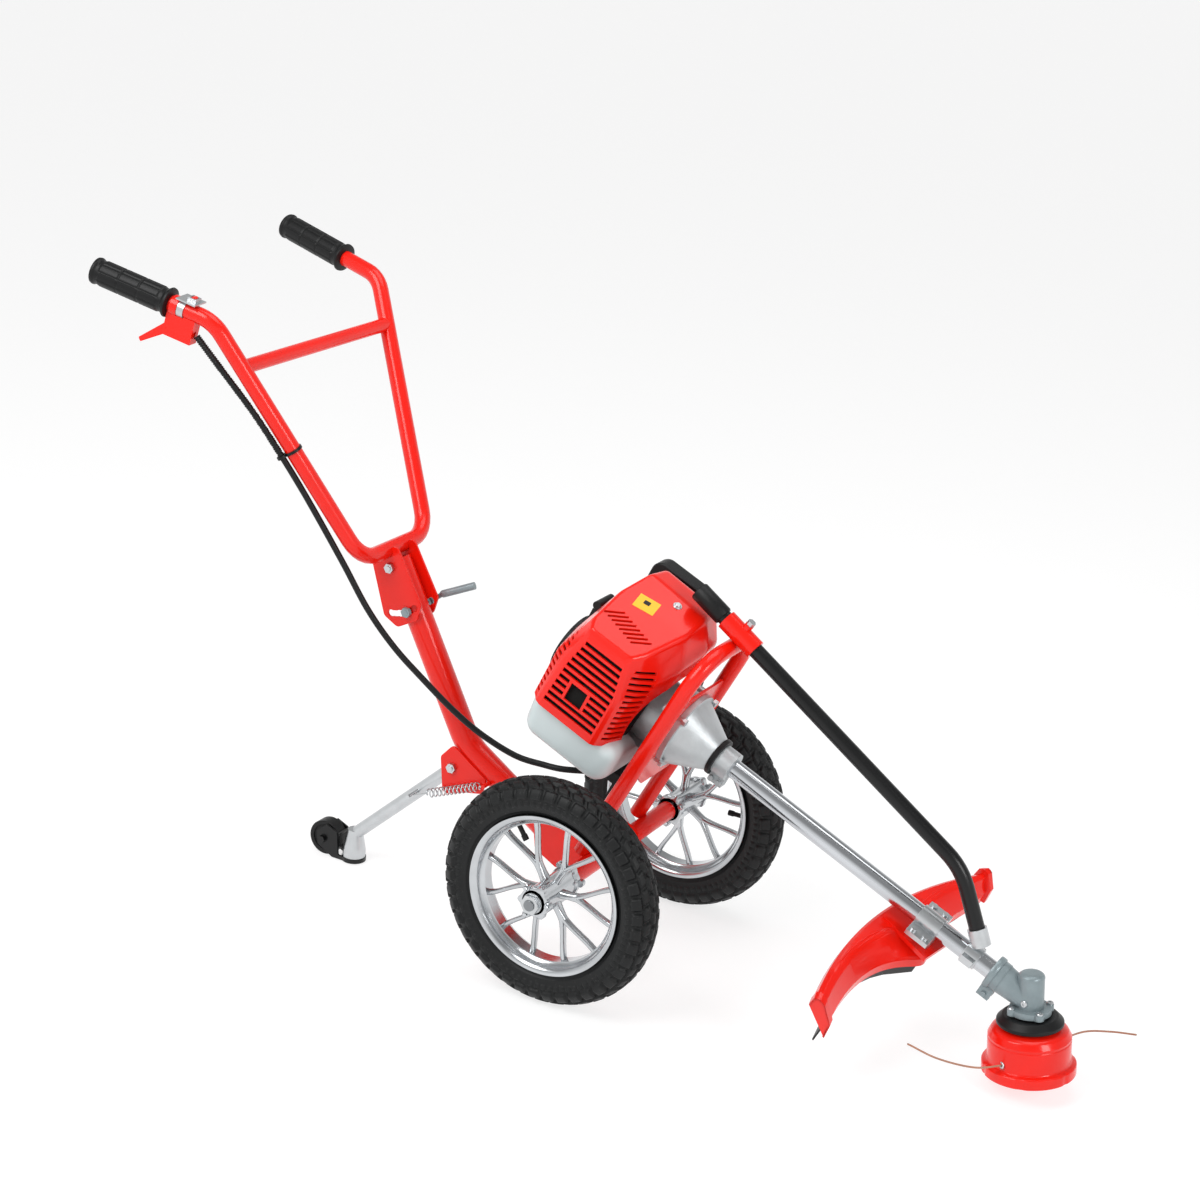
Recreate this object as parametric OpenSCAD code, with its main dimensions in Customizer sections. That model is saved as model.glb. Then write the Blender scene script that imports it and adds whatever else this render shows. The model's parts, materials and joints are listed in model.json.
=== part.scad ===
// Hand-pushed wheeled brush mower: two pneumatic wheels, a sprung tail caster, a tilting
// handle, a small two-stroke engine in a hoop over the axle and a line head on a long shaft.
// +X points ahead to the cutting head, +Y to the operator's left, +Z up. Millimetres.

/* [Wheels] */
// Outer diameter of the tyres
tyre_d = 317; // [312:1:322]
// Width of a tyre
tyre_w = 59; // [56:1:60]
// Distance between the middle planes of the wheels
track = 376; // [372:1:384]
// Diameter of the plain axle rod
axle_rod_d = 15; // [14:1:16]

/* [Frame] */
// Diameter of the post
post_d = 38; // [36:1:38]
// Diameter of the tube of the engine hoop
hoop_tube_d = 22; // [20:1:22]
// Half of the width of the engine hoop
hoop_half_w = 79; // [78:1:82]

/* [Handle] */
// Diameter of the handle tube
handle_d = 23; // [21:1:23]
// Diameter of the rubber grips
grip_d = 38; // [34:1:40]
// Angle between two detents of the handle's tilt
detent = 12; // [10:1:12]

/* [Cutting drive] */
// Slope of the drive tube below the horizontal
shaft_slope = 23.5; // [23.5:0.5:23.5]
// Outer diameter of the aluminium drive tube
shaft_d = 26; // [24:1:26]
// Diameter of the lower flange of the line head
head_d = 122; // [116:1:124]
// Turn of the guard about the drive tube
guard_roll = 15; // [13:1:16]
// Skew of the guard on its clamp
guard_skew = 10; // [8:1:11]

/* [Hidden] */
$fn = 48;

// Places in the side view, x and z, with x counted from the axle.
x_mid = -15.045;
axle_z = tyre_d / 2;
tilt_pivot = [-385, 0, 473];
post_bend = [-252, 0, 234];
post_foot = [-75, 0, 121];
leg_pivot = [-263, 0, 204];
leg_foot = [-428, 0, 47];
caster_pin = [-433, 0, 20];
caster_hub = [-479, 0, 26];
spring_front = [-203, -30, 196];
spring_rear = [-325, -30, 145];
crank_origin = [0, 0, 384.8];
handle_end = [-753, 218, 858];
handle_knee = [-575, 195, 818];
handle_heel = [-395, 81, 496];
crossbar_at = 0.187;
tie_at = 0.53;

// The drive line is laid out in a frame of its own, x along the shaft and z square to it.
gear_s = 662.6;
spindle_lean = 90 - 60 - shaft_slope;
spindle_z = crank_origin[2] - gear_s * sin(shaft_slope);
hoop_s = 82;
hoop_top = 143;
strut_slope = 34;
strut_start = [84, 0, 547];
strut_bend = [491, 0, 272];
strut_foot = [529, 0, 182];
sleeve_mid = [147.9, 0, 503.825];

// Wheel parts, by radius.
rim_r = 111.7;
rim_half_w = 23.3;
seat_r = 106.5;
hub_in = track / 2 - 45;
hub_out = track / 2 + 45;
fork_turn_right = 3;
fork_turn_left = 27;
valve_turn_right = 125;
valve_turn_left = 1;
gap = 0.3;
running = 0.05;

// Route of the cable from the throttle to the carburettor.
cable_points = [
  [-599.8, -197.3, 793.4], [-570, -188, 758], [-524, -167, 697], [-489.6, -146.7, 639.6], [-459, -123, 578],
  [-414, -100, 495], [-378, -84, 429], [-339, -72, 380], [-295, -61, 340], [-252, -50, 304],
  [-211, -38, 275], [-164, -22, 251], [-126, -10, 244], [-89, 0, 243], [-40, 34, 245],
  [2, 64, 264], [29, 68, 307], [53, 68, 362], [67, 68, 404], [61, 68, 426], [46, 68, 432.5]];
cable_r = 5;
line_r = 1.3;
line_near = [[599, -50, 46], [571, -78, 46], [524, -86, 46], [478, -75, 46]];
line_far = [[635, 50, 48], [661, 78, 59], [694, 86, 67], [730, 75, 80]];

red = "#F3281C";
black = "#1B1D1F";
silver = "#C9CDD0";
grey = "#9AA0A3";
white = "#EAF0F2";

function unit(v) = v / norm(v);
function lerp(a, b, k) = a + (b - a) * k;
function mirror_y(p) = [p[0], -p[1], p[2]];
function arc_pts(c, r, a0, a1, n) = [for (i = [0:n]) c + r * [cos(lerp(a0, a1, i / n)),
                                                             sin(lerp(a0, a1, i / n))]];
// Corner of a closed outline, rounded to radius r, as a short arc of points.
function corner(a, b, c, r) = let (u = unit(a - b), v = unit(c - b), h = acos(u * v) / 2,
    m = b + unit(u + v) * r / sin(h), p = b + u * r / tan(h), q = b + v * r / tan(h),
    a0 = atan2(p[1] - m[1], p[0] - m[0]), da = atan2(q[1] - m[1], q[0] - m[0]) - a0,
    turn = da > 180 ? da - 360 : da < -180 ? da + 360 : da)
  arc_pts(m, r, a0, a0 + turn, 6);
function rounded(pts, r) = [for (i = [0:len(pts) - 1])
    each corner(pts[(i + len(pts) - 1) % len(pts)], pts[i], pts[(i + 1) % len(pts)], r)];

module ground_frame() { translate([-x_mid, 0, 0]) children(); }
module drive_frame() { ground_frame() translate(crank_origin) rotate([0, shaft_slope, 0]) children(); }
module spindle_frame() { drive_frame() translate([gear_s, 0, 0]) rotate([0, 90 + 60, 0]) children(); }
module aim(a, b) { v = b - a; translate(a) rotate([0, acos(v[2] / norm(v)), atan2(v[1], v[0])]) children(); }
module rod(a, b, r) { aim(a, b) cylinder(h = norm(b - a), r = r); }
module ring(r, wall) { difference() { circle(r); if (wall < r) circle(r - wall); } }
module pipe(a, b, r, wall) { aim(a, b) linear_extrude(norm(b - a)) ring(r, wall); }
module both() { children(); mirror([0, 1, 0]) children(); }
// Plate in a plane square to Y, from y0 to y1, with an outline in x and z.
module side_plate(pts, y0, y1) { translate([0, y1, 0]) rotate([90, 0, 0]) linear_extrude(y1 - y0) polygon(pts); }
module pin_y(p, r, y0, y1) { translate([p[0], y0, p[2]]) rotate([-90, 0, 0]) cylinder(h = y1 - y0, r = r); }
module hex_y(p, af, y0, y1) { translate([p[0], y0, p[2]]) rotate([-90, 0, 0])
  cylinder(h = y1 - y0, d = af / cos(30), $fn = 6); }
module pin_x(r, x0, x1) { translate([x0, 0, 0]) rotate([0, 90, 0]) cylinder(h = x1 - x0, r = r); }
module hex_x(af, x0, x1) { translate([x0, 0, 0]) rotate([0, 90, 0])
  cylinder(h = x1 - x0, d = af / cos(30), $fn = 6); }

// Bent tube: straight legs joined by arcs of one radius, swept as one closed body with a bore.
// Each ring holds its place and its direction; ref is a direction no leg runs along.
function arc_rings(a, b, c, bend_r, n) = let (u = unit(a - b), v = unit(c - b), h = acos(u * v) / 2,
    m = b + unit(u + v) * bend_r / sin(h), x = unit(b + u * bend_r / tan(h) - m),
    y = cross(unit(cross(x, b + v * bend_r / tan(h) - m)), x))
  [for (i = [0:n]) let (w = (180 - 2 * h) * i / n)
    [m + bend_r * (x * cos(w) + y * sin(w)), y * cos(w) - x * sin(w)]];
function bent_rings(p, bend_r, n) = concat([[p[0], unit(p[1] - p[0])]],
  [for (i = [1:len(p) - 2]) each arc_rings(p[i - 1], p[i], p[i + 1], bend_r, n)],
  [[p[len(p) - 1], unit(p[len(p) - 1] - p[len(p) - 2])]]);
module bent_pipe(p, bend_r, r, wall, ref, steps = 6, sides = 20) {
  rings = bent_rings(p, bend_r, steps);
  last = len(rings) - 1;
  row = 2 * sides;
  points = [for (g = rings) let (u = unit(cross(g[1], ref)), v = cross(g[1], u))
    each [for (q = [r, r - wall], k = [0:sides - 1])
      g[0] + q * (u * cos(360 * k / sides) + v * sin(360 * k / sides))]];
  walls = [for (i = [0:last - 1], k = [0:sides - 1]) let (a = i * row + k, b = i * row + (k + 1) % sides)
    each [[a, a + row, b + row, b], [a + sides, b + sides, b + sides + row, a + sides + row]]];
  ends = [for (k = [0:sides - 1]) let (a = k, b = (k + 1) % sides, z = last * row)
    each [[a, b, b + sides, a + sides], [z + a, z + a + sides, z + b + sides, z + b]]];
  polyhedron(points, concat(walls, ends));
}

// Smooth cord: a curve through the points, swept with a round section of the given sides.
function hermite(p, i, k) = let (a = p[max(i - 1, 0)], b = p[i], c = p[i + 1],
    d = p[min(i + 2, len(p) - 1)])
  0.5 * (2 * b + (c - a) * k + (2 * a - 5 * b + 4 * c - d) * k * k
         + (3 * b - a - 3 * c + d) * k * k * k);
function smooth(p, n) = [for (i = [0:len(p) - 2], j = [0:n - 1]) hermite(p, i, j / n), p[len(p) - 1]];
module cord(p, r, sides) {
  last = len(p) - 1;
  tangent = [for (i = [0:last]) unit(p[min(i + 1, last)] - p[max(i - 1, 0)])];
  points = [for (i = [0:last]) let (u = unit(cross(tangent[i], [0.1, 0.2, 1])), v = cross(tangent[i], u))
    for (k = [0:sides - 1]) p[i] + r * (u * cos(360 * k / sides) + v * sin(360 * k / sides))];
  walls = [for (i = [0:last - 1], k = [0:sides - 1]) let (k2 = (k + 1) % sides)
    each [[i * sides + k, (i + 1) * sides + k, (i + 1) * sides + k2],
          [i * sides + k, (i + 1) * sides + k2, i * sides + k2]]];
  ends = [[for (k = [0:sides - 1]) k], [for (k = [sides - 1:-1:0]) last * sides + k]];
  polyhedron(points, concat(walls, ends));
}

// ---------- frame ----------
post_dir = unit(post_bend - tilt_pivot);
post_top = tilt_pivot - 8 * post_dir;
lock_at = tilt_pivot + 66 * post_dir;
plate_in = post_d / 2 + 0.8;
plate_out = plate_in + 3;

module post() color(red) ground_frame() difference() {
  bent_pipe([post_top, post_bend, post_foot], 80, post_d / 2, 2, [0, 1, 0]);
  pin_y(tilt_pivot, 4, -30, 30);
  pin_y(lock_at, 4, -30, 30);
}

module axle_gussets() color(red) ground_frame() both() difference() {
  side_plate(rounded([[-128, 176], [-120, 122], [-84, 103], [-6, 138], [19, 148], [19, 172], [-2, 182]], 8),
             post_d / 2, post_d / 2 + 3.5);
  pin_y([0, 0, axle_z], 13.5, 0, 40);
}

module axle_tube() color(red) ground_frame() difference() {
  pin_y([0, 0, axle_z], 13.5, -hub_in + 4, hub_in - 4);
  pin_y([0, 0, axle_z], 10.5, -200, 200);
}

module axle_rod() color(grey) ground_frame() {
  pin_y([0, 0, axle_z], 10.5, -hub_in + 4, hub_in - 4);
  both() pin_y([0, 0, axle_z], axle_rod_d / 2, hub_in - 4, hub_out + 13);
}

module axle_nuts() both() difference() {
  union() {
    pin_y([0, 0, axle_z], 14, hub_out + 1, hub_out + 3);
    hex_y([0, 0, axle_z], 24, hub_out + 3, hub_out + 11);
    pin_y([0, 0, axle_z], 13, hub_in - 3.5, hub_in - 1);
  }
  pin_y([0, 0, axle_z], axle_rod_d / 2, 100, 300);
}

bracket_outline = rounded([[-283, 216], [-264, 238], [-207, 200], [-211, 178], [-240, 172],
                           [-276, 160]], 7);
module stand_bracket() color(red) ground_frame() {
  difference() {
    both() side_plate(bracket_outline, post_d / 2, post_d / 2 + 3);
    pin_y(leg_pivot, 4, -40, 40);
  }
  difference() {
    pin_y(spring_front, 3, -36, -10);
    rod(post_bend, post_foot, post_d / 2);
  }
}

function hoop_lean(t) = hoop_s + 3 - 15 * (hoop_top - t) / (hoop_top + 200);
module engine_hoop() color(red) drive_frame() {
  foot = -203;
  path = [[hoop_lean(foot), -hoop_half_w, foot], [hoop_lean(hoop_top), -hoop_half_w, hoop_top],
          [hoop_lean(hoop_top), hoop_half_w, hoop_top], [hoop_lean(foot), hoop_half_w, foot]];
  difference() {
    bent_pipe(path, 52, hoop_tube_d / 2, 2, [1, 0, 0]);
    translate([axle_s(), 0, axle_t()]) rotate([90, 0, 0])
      cylinder(h = 400, r = 13.5, center = true);
  }
}
function axle_s() = (axle_z - crank_origin[2]) * -sin(shaft_slope);
function axle_t() = (axle_z - crank_origin[2]) * cos(shaft_slope);

plate_s = 80;
module mount_plate() color(red) drive_frame() difference() {
  translate([plate_s, 0, 0]) rotate([90, 0, 90]) linear_extrude(4)
    polygon(rounded([[-67.9, 62], [67.9, 62], [67.9, -62], [40, -84], [-40, -84], [-67.9, -62]], 9));
  pin_x(24, 70, 90);
  for (y = [-44, 44], t = [-36, 36]) translate([0, y, t]) pin_x(3.1, 70, 90);
}

sleeve_dir = unit(strut_bend - strut_start);
module shield_sleeve() color(red) ground_frame() difference() {
  union() {
    rod(sleeve_mid - 28 * sleeve_dir, sleeve_mid + 28 * sleeve_dir, 14);
    rod(sleeve_mid, sleeve_mid + 20 * [sin(strut_slope), 0, cos(strut_slope)], 6);
  }
  rod(sleeve_mid - 60 * sleeve_dir, sleeve_mid + 60 * sleeve_dir, 10.5);
  rod(sleeve_mid, sleeve_mid + 40 * [sin(strut_slope), 0, cos(strut_slope)], 3);
}

// All bolts, nuts and washers of the frame, as one group of separate solids.
module frame_bolts() color(silver) ground_frame() {
  axle_nuts();
  for (p = [tilt_pivot, leg_pivot]) {
    reach = p == tilt_pivot ? plate_out + gap : post_d / 2 + 3;
    pin_y(p, 4, -reach - 7, reach + 7);
    hex_y(p, 13, -reach - 5.5, -reach);
    hex_y(p, 13, reach, reach + 6.5);
  }
  translate(sleeve_mid) rotate([0, strut_slope, 0]) {
    translate([0, 0, 10.7]) cylinder(h = 15.3, r = 3);
    translate([0, 0, 20]) cylinder(h = 6, d = 11.5, $fn = 6);
  }
  drive_bolts();
}
module drive_bolts() translate(crank_origin) rotate([0, shaft_slope, 0])
  for (y = [-44, 44], t = [-36, 36]) translate([0, y, t]) {
    pin_x(3.1, 66, 92);
    hex_x(10, 92, 97);
  }

module lock_lever() color(grey) ground_frame() {
  reach = plate_out + gap;
  pin_y(lock_at, 4 - running, -reach - 6, reach + 22);
  hex_y(lock_at, 13, -reach - 5.5, -reach);
  pin_y(lock_at, 7, reach, reach + 5);
  eye = [lock_at[0], reach + 14, lock_at[2]];
  knee = eye + [16, 6, 13];
  pin_y(eye, 8, reach + 8, reach + 20);
  rod(eye + [5, 2, 4], knee, 3.5);
  rod(knee, knee + [44, 12, 20], 5.5);
  translate(knee) sphere(5);
}

// ---------- tail caster ----------
leg_dir = unit(leg_foot - leg_pivot);
module stand_leg() color(grey) ground_frame() difference() {
  union() {
    rod(leg_pivot, leg_foot, 9.5);
    pin_y(leg_pivot, 11, -15, 15);
    translate([caster_pin[0], 0, 8]) cylinder(h = 10, r = 17);
    translate([caster_pin[0], 0, 18]) cylinder(h = 32, r1 = 17, r2 = 11);
    pin_y(spring_rear, 3.2, -36, 0);
  }
  pin_y(leg_pivot, 4 + running, -40, 40);
}

module stand_spring() color(silver) ground_frame() {
  a = lerp(spring_rear, spring_front, 0.97);
  b = lerp(spring_rear, spring_front, 0.04);
  difference() {
    union() {
      rod(lerp(b, a, 0.24), lerp(b, a, 0.92), 7);
      rod(b, a, 1.6);
    }
    pin_y(spring_front, 3, -50, 0);
    pin_y(spring_rear, 3.6, -50, 0);
  }
}

module caster_fork() color(black) ground_frame() {
  translate([caster_pin[0], 0, 1.5]) cylinder(h = 6.2, r = 18);
  both() side_plate(rounded([[-430, 1.5], [-430, 7.7], [-451.5, 7.7], [-455, 42], [-474, 50], [-490, 36],
                             [-488, 16], [-462, 1.5]], 2), 12, 15);
  translate([-455, -13, 38]) cube([3.5, 26, 3]);
  pin_y(caster_hub, 3, -18, 18);
  both() hex_y(caster_hub, 10, 15, 20);
}

module caster_wheel() color(black) ground_frame() difference() {
  pin_y(caster_hub, 26, -10.5, 10.5);
  pin_y(caster_hub, 3 + running, -20, 20);
  both() difference() {
    pin_y(caster_hub, 19, 8, 12);
    pin_y(caster_hub, 7, 7, 13);
  }
}

// ---------- handle ----------
module handle_tube() color(red) ground_frame() {
  bent_pipe([handle_end, handle_knee, handle_heel, mirror_y(handle_heel), mirror_y(handle_knee),
             mirror_y(handle_end)], 46, handle_d / 2, 1.8, [0.834, 0, 0.466]);
}

bar_y = lerp(handle_knee, handle_heel, crossbar_at);
module handle_crossbar() color(red) ground_frame() difference() {
  pipe(bar_y, mirror_y(bar_y), 10, 1.5);
  both() rod(handle_knee, handle_heel, handle_d / 2);
}

plate_outline = let (p = [tilt_pivot[0], tilt_pivot[2]], u = [-post_dir[0], -post_dir[2]], v = [-u[1], u[0]])
  rounded([p + 26 * u - 24 * v, p + 26 * u + 24 * v, p - 60 * u + 40 * v, p - 82 * u + 26 * v,
           p - 82 * u - 10 * v, p - 64 * u - 27 * v], 9);
module handle_plates() color(red) ground_frame() difference() {
  both() side_plate(plate_outline, plate_in, plate_out);
  rod([handle_heel[0], 90, handle_heel[2]], [handle_heel[0], -90, handle_heel[2]], handle_d / 2);
  pin_y(tilt_pivot, 4 + running, -40, 40);
  translate(tilt_pivot) rotate([90, 0, 0]) for (k = [-2:1])
    rotate(-lock_angle() + k * detent) translate([0, -66, 0]) cylinder(h = 80, r = 5, center = true);
  translate(tilt_pivot) rotate([90, 0, 0]) translate([0, 0, -40]) rotate(-90 - lock_angle() - 2 * detent)
    rotate_extrude(angle = 3 * detent) translate([66 - 4.4, 0]) square([8.8, 80]);
}
function lock_angle() = -atan2(post_dir[0], -post_dir[2]);

// Frame on a grip: x runs from the knee out along the grip, z is up.
module grip_frame(side) {
  far_end = side > 0 ? handle_end : mirror_y(handle_end);
  knee = side > 0 ? handle_knee : mirror_y(handle_knee);
  ex = unit(far_end - knee);
  ez = unit([0, 0, 1] - ex[2] * ex);
  ey = cross(ez, ex);
  ground_frame() multmatrix([[ex[0], ey[0], ez[0], knee[0]], [ex[1], ey[1], ez[1], knee[1]],
                             [ex[2], ey[2], ez[2], knee[2]], [0, 0, 0, 1]]) children();
}
grip_start = 66;
grip_end = norm(handle_end - handle_knee) + 3;
module grip(side) color(black) grip_frame(side) rotate([0, 90, 0]) rotate_extrude() difference() {
  union() {
    translate([0, grip_start + 4]) square([grip_d / 2 - 1.5, grip_end - grip_start - 8]);
    translate([0, grip_start]) square([grip_d / 2 + 2, 5]);
    translate([0, grip_end - 5]) square([grip_d / 2, 5]);
  }
  translate([0, 0]) square([handle_d / 2, grip_end - 3]);
}
module grip_left() grip(1);
module grip_right() grip(-1);

module switch_mount() grip_frame(-1) {
  color(silver) difference() {
    union() {
      pin_x(13, 41, 51);
      translate([24, -15, 14]) cube([30, 30, 2]);
      translate([42, -7, 8]) cube([8, 14, 7]);
    }
    pin_x(handle_d / 2, 30, 60);
    translate([28, -7, 10]) cube([13, 14, 20]);
  }
  color(black) difference() {
    translate([28, -7, 12]) cube([13, 14, 9]);
    translate([30, -5, 15]) cube([9, 10, 20]);
  }
}
module switch_rocker() color(red) grip_frame(-1)
  translate([34.5, 0, 19]) rotate([90, 0, 0]) cylinder(h = 9, r = 3.4, center = true);

throttle_pivot = [62, 0, -31];
module throttle_bracket() color(red) grip_frame(-1) difference() {
  union() {
    pin_x(14, 51.3, 62);
    for (y = [-9, 6.5]) translate([22, y, -42]) cube([43.5, 2.5, 34]);
    translate([22, -9, -42]) cube([2.5, 18, 34]);
  }
  pin_x(handle_d / 2, 0, 90);
  pin_x(13.3, 40, 51.3);
  translate(throttle_pivot) rotate([90, 0, 0]) cylinder(h = 40, r = 2.5, center = true);
  translate([10, 0, -26]) rotate([0, 90, 0]) cylinder(h = 30, r = 3, center = true);
}
module throttle_lever() color(red) grip_frame(-1) {
  tip = throttle_pivot + [38, 0, -34];
  rotate([90, 0, 0]) translate([throttle_pivot[0], throttle_pivot[2], 0])
    cylinder(h = 18, r = 2.5 - running, center = true);
  difference() {
    rotate([90, 0, 0]) linear_extrude(9, center = true)
      polygon(rounded([[throttle_pivot[0] - 6, throttle_pivot[2] + 3], [throttle_pivot[0] + 2, throttle_pivot[2] + 7],
                       [tip[0], tip[2] + 3], [tip[0] - 4, tip[2] - 2], [throttle_pivot[0] - 4, throttle_pivot[2] - 7]], 1.5));
  }
}

module throttle_cable() color(black) ground_frame() cord(smooth(cable_points, 3), cable_r, 10);
module cable_tie() color(black) {
  on_arm = lerp(mirror_y(handle_knee), mirror_y(handle_heel), tie_at);
  arm = unit(mirror_y(handle_heel) - mirror_y(handle_knee));
  beside = cable_points[3];
  ground_frame() difference() {
    union() {
      rod(on_arm - 5 * arm, on_arm + 5 * arm, handle_d / 2 + 1.6);
      rod(beside - 5 * arm, beside + 5 * arm, cable_r + 2.2);
    }
    rod(on_arm - 20 * arm, on_arm + 20 * arm, handle_d / 2);
    rod(beside - 20 * arm, beside + 20 * arm, cable_r + 0.8);
  }
}

// ---------- wheels ----------
module on_wheel(side) { ground_frame() translate([0, side * track / 2, axle_z]) rotate([90, 0, 0]) children(); }

// One forked spoke: a stem out of the hub that splits into two blades.
module forked_spoke() {
  translate([20, -5, -5]) cube([22, 10, 10]);
  for (k = [-1, 1]) translate([38, 0, 0]) rotate(k * 17) translate([0, -3.2, -4.5]) cube([62, 6.4, 9]);
}
module rim_section() polygon([[112, -23.3], [112, -20.3], [seat_r, -20], [seat_r, -9], [101, -6], [101, 6],
    [seat_r, 9], [seat_r, 20], [112, 20.3], [112, 23.3], [108, 23.3], [103, 19], [96.5, 9],
    [96.5, -9], [103, -19], [108, -23.3]]);
module wheel_rim(side, turn) color(silver) on_wheel(side) difference() {
  union() {
    rotate_extrude($fn = 96) rim_section();
    cylinder(h = 90, r = 22, center = true);
    for (z = [-42, 42]) translate([0, 0, z]) cylinder(h = 6, r = 25, center = true);
    intersection() {
      for (k = [0:5]) rotate(turn + 60 * k) forked_spoke();
      cylinder(h = 20, r = 97.5, center = true);
    }
    for (k = [0:2], z = [-42, 42]) rotate(turn + 120 * k) translate([27, 0, z]) cylinder(h = 5.9, r = 5, center = true);
  }
  cylinder(h = 100, r = 12, center = true);
  for (z = [-40, 40]) translate([0, 0, z]) cylinder(h = 12, r = 17.5, center = true);
  for (k = [0:2]) rotate(turn + 120 * k) translate([27, 0, 0]) cylinder(h = 100, r = 2.2, center = true);
}
module wheel_rim_left() wheel_rim(1, fork_turn_left);
module wheel_rim_right() wheel_rim(-1, fork_turn_right);

module tyre_section() {
  mid = (tyre_d / 2 + 101.5) / 2;
  high = tyre_d / 2 - mid;
  polygon(concat([for (a = [-126:12.6:126]) [mid + high * cos(a), tyre_w / 2 * sin(a)]],
                 [[112.4, 20], [seat_r, 20], [seat_r, 12]],
                 [for (a = [140:-20:-140]) [mid + (high - 7) * cos(a), (tyre_w / 2 - 7) * sin(a)]],
                 [[seat_r, -12], [seat_r, -20], [112.4, -20]]));
}
module tyre(side) color(black) on_wheel(side) rotate_extrude($fn = 96) tyre_section();
module tyre_left() tyre(1);
module tyre_right() tyre(-1);

module wheel_bearings(side) color(grey) on_wheel(side) difference() {
  for (z = [-39.5, 39.5]) translate([0, 0, z]) cylinder(h = 11, r = 17.5, center = true);
  cylinder(h = 120, r = axle_rod_d / 2 + running, center = true);
}
module wheel_bearings_left() wheel_bearings(1);
module wheel_bearings_right() wheel_bearings(-1);

module valve(side, turn) color(black) on_wheel(side) rotate(turn) translate([0, 0, 0]) rotate([0, 90, 0]) {
  translate([0, 0, 82]) cylinder(h = 14.5, r = 3.4);
  translate([0, 0, 74]) cylinder(h = 8, r = 4.2);
}
module valve_left() valve(1, valve_turn_left);
module valve_right() valve(-1, valve_turn_right);

// ---------- engine, in the drive frame ----------
cyl_s = -10;
module crankcase() color(grey) drive_frame() difference() {
  union() {
    pin_x(46, -64, 66);
    pin_x(56, -70, -64);
    pin_x(52, 66, 80);
    translate([cyl_s - 36, -36, 0]) cube([72, 72, 50]);
    for (y = [-44, 44], t = [-36, 36]) translate([0, y, t]) pin_x(8, 60, 80);
  }
  pin_x(34, -62, 58);
  pin_x(10, -100, 100);
  translate([cyl_s, 0, 0]) cylinder(h = 70, r = 22);
  for (y = [-44, 44], t = [-36, 36]) translate([0, y, t]) pin_x(3.1, 60, 90);
}

module cylinder_barrel() color(silver) drive_frame() translate([cyl_s, 0, 0]) difference() {
  union() {
    translate([0, 0, 50]) cylinder(h = 76, r = 27);
    for (k = [0:8]) translate([0, 0, 56 + 8 * k]) cylinder(h = 3, r = 42);
  }
  rod([0, -60, 66], [0, -26, 66], 9);
  rod([0, 26, 62], [0, 60, 62], 9);
  translate([0, 0, 40]) cylinder(h = 76, r = 22);
  translate([0, 0, 100]) cylinder(h = 40, r = 5);
}

module piston() color(grey) drive_frame() translate([cyl_s, 0, 0]) {
  difference() {
    translate([0, 0, 68]) cylinder(h = 36, r = 22 - running);
    translate([0, 0, 60]) cylinder(h = 36, r = 18);
  }
}

module spark_plug() color(white) drive_frame() translate([cyl_s, 0, 0]) {
  translate([0, 0, 116]) cylinder(h = 10, r = 5);
  translate([0, 0, 126]) cylinder(h = 6, d = 19, $fn = 6);
  translate([0, 0, 132]) cylinder(h = 18, r = 7);
}

module crankshaft() color(grey) drive_frame() {
  pin_x(10 - running, -84, 100);
  pin_x(30, 15, 30);
  pin_x(30, -40, -25);
  pin_x(40, -84, -71);
  pin_x(16, 96, 112);
}

module muffler() color(grey) drive_frame() difference() {
  union() {
    translate([-58, -106, 18]) cube([74, 58, 70]);
    rod([cyl_s, -50, 66], [cyl_s, -28, 66], 9);
  }
  translate([-54, -103, 22]) cube([66, 52, 62]);
  translate([-38, -110, 26]) cube([24, 10, 18]);
}

function ball_at(p) = p;
module ball(p, r) { translate(p) sphere(r, $fn = 24); }
// Outer form of the shroud, shrunk by d on all sides.
module cover_form(d) hull() {
  for (s = [-72, 12], t = [-16, 92]) ball([s, -108, t], 10 - d);
  for (t = [-16, 86]) ball([-86, -84, t], 10 - d);
  for (t = [-14, 86]) ball([34, -72, t], 12 - d);
  for (s = [-70, 34], t = [-16, 86]) ball([s, 48, t], 14 - d);
  for (s = [-54, 6], y = [-22, 42]) ball([s, y, 141], 20 - d);
  for (y = [-30, 18]) ball([42, y, 112], 24 - d);
}
module engine_cover() color(red) drive_frame() difference() {
  cover_form(0);
  difference() {
    cover_form(3);
    translate([0, 0, -46]) cube([400, 400, 36], center = true);
  }
  translate([0, 0, -76]) cube([400, 400, 96], center = true);
  translate([0, 0, -20]) cube([150, 170, 16], center = true);
  pin_x(58, -200, -60);
  pin_x(58, 30, 200);
  translate([-46, -130, 14]) cube([32, 40, 28]);
  for (k = [0:5]) translate([-66, -130, 50 + 8.5 * k]) cube([76, 20, 4]);
  for (k = [0:4]) translate([-6, -130, -2 + 9 * k]) cube([20, 20, 4]);
  translate([cyl_s - 40, 40, 20]) cube([74, 40, 84]);
}

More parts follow.
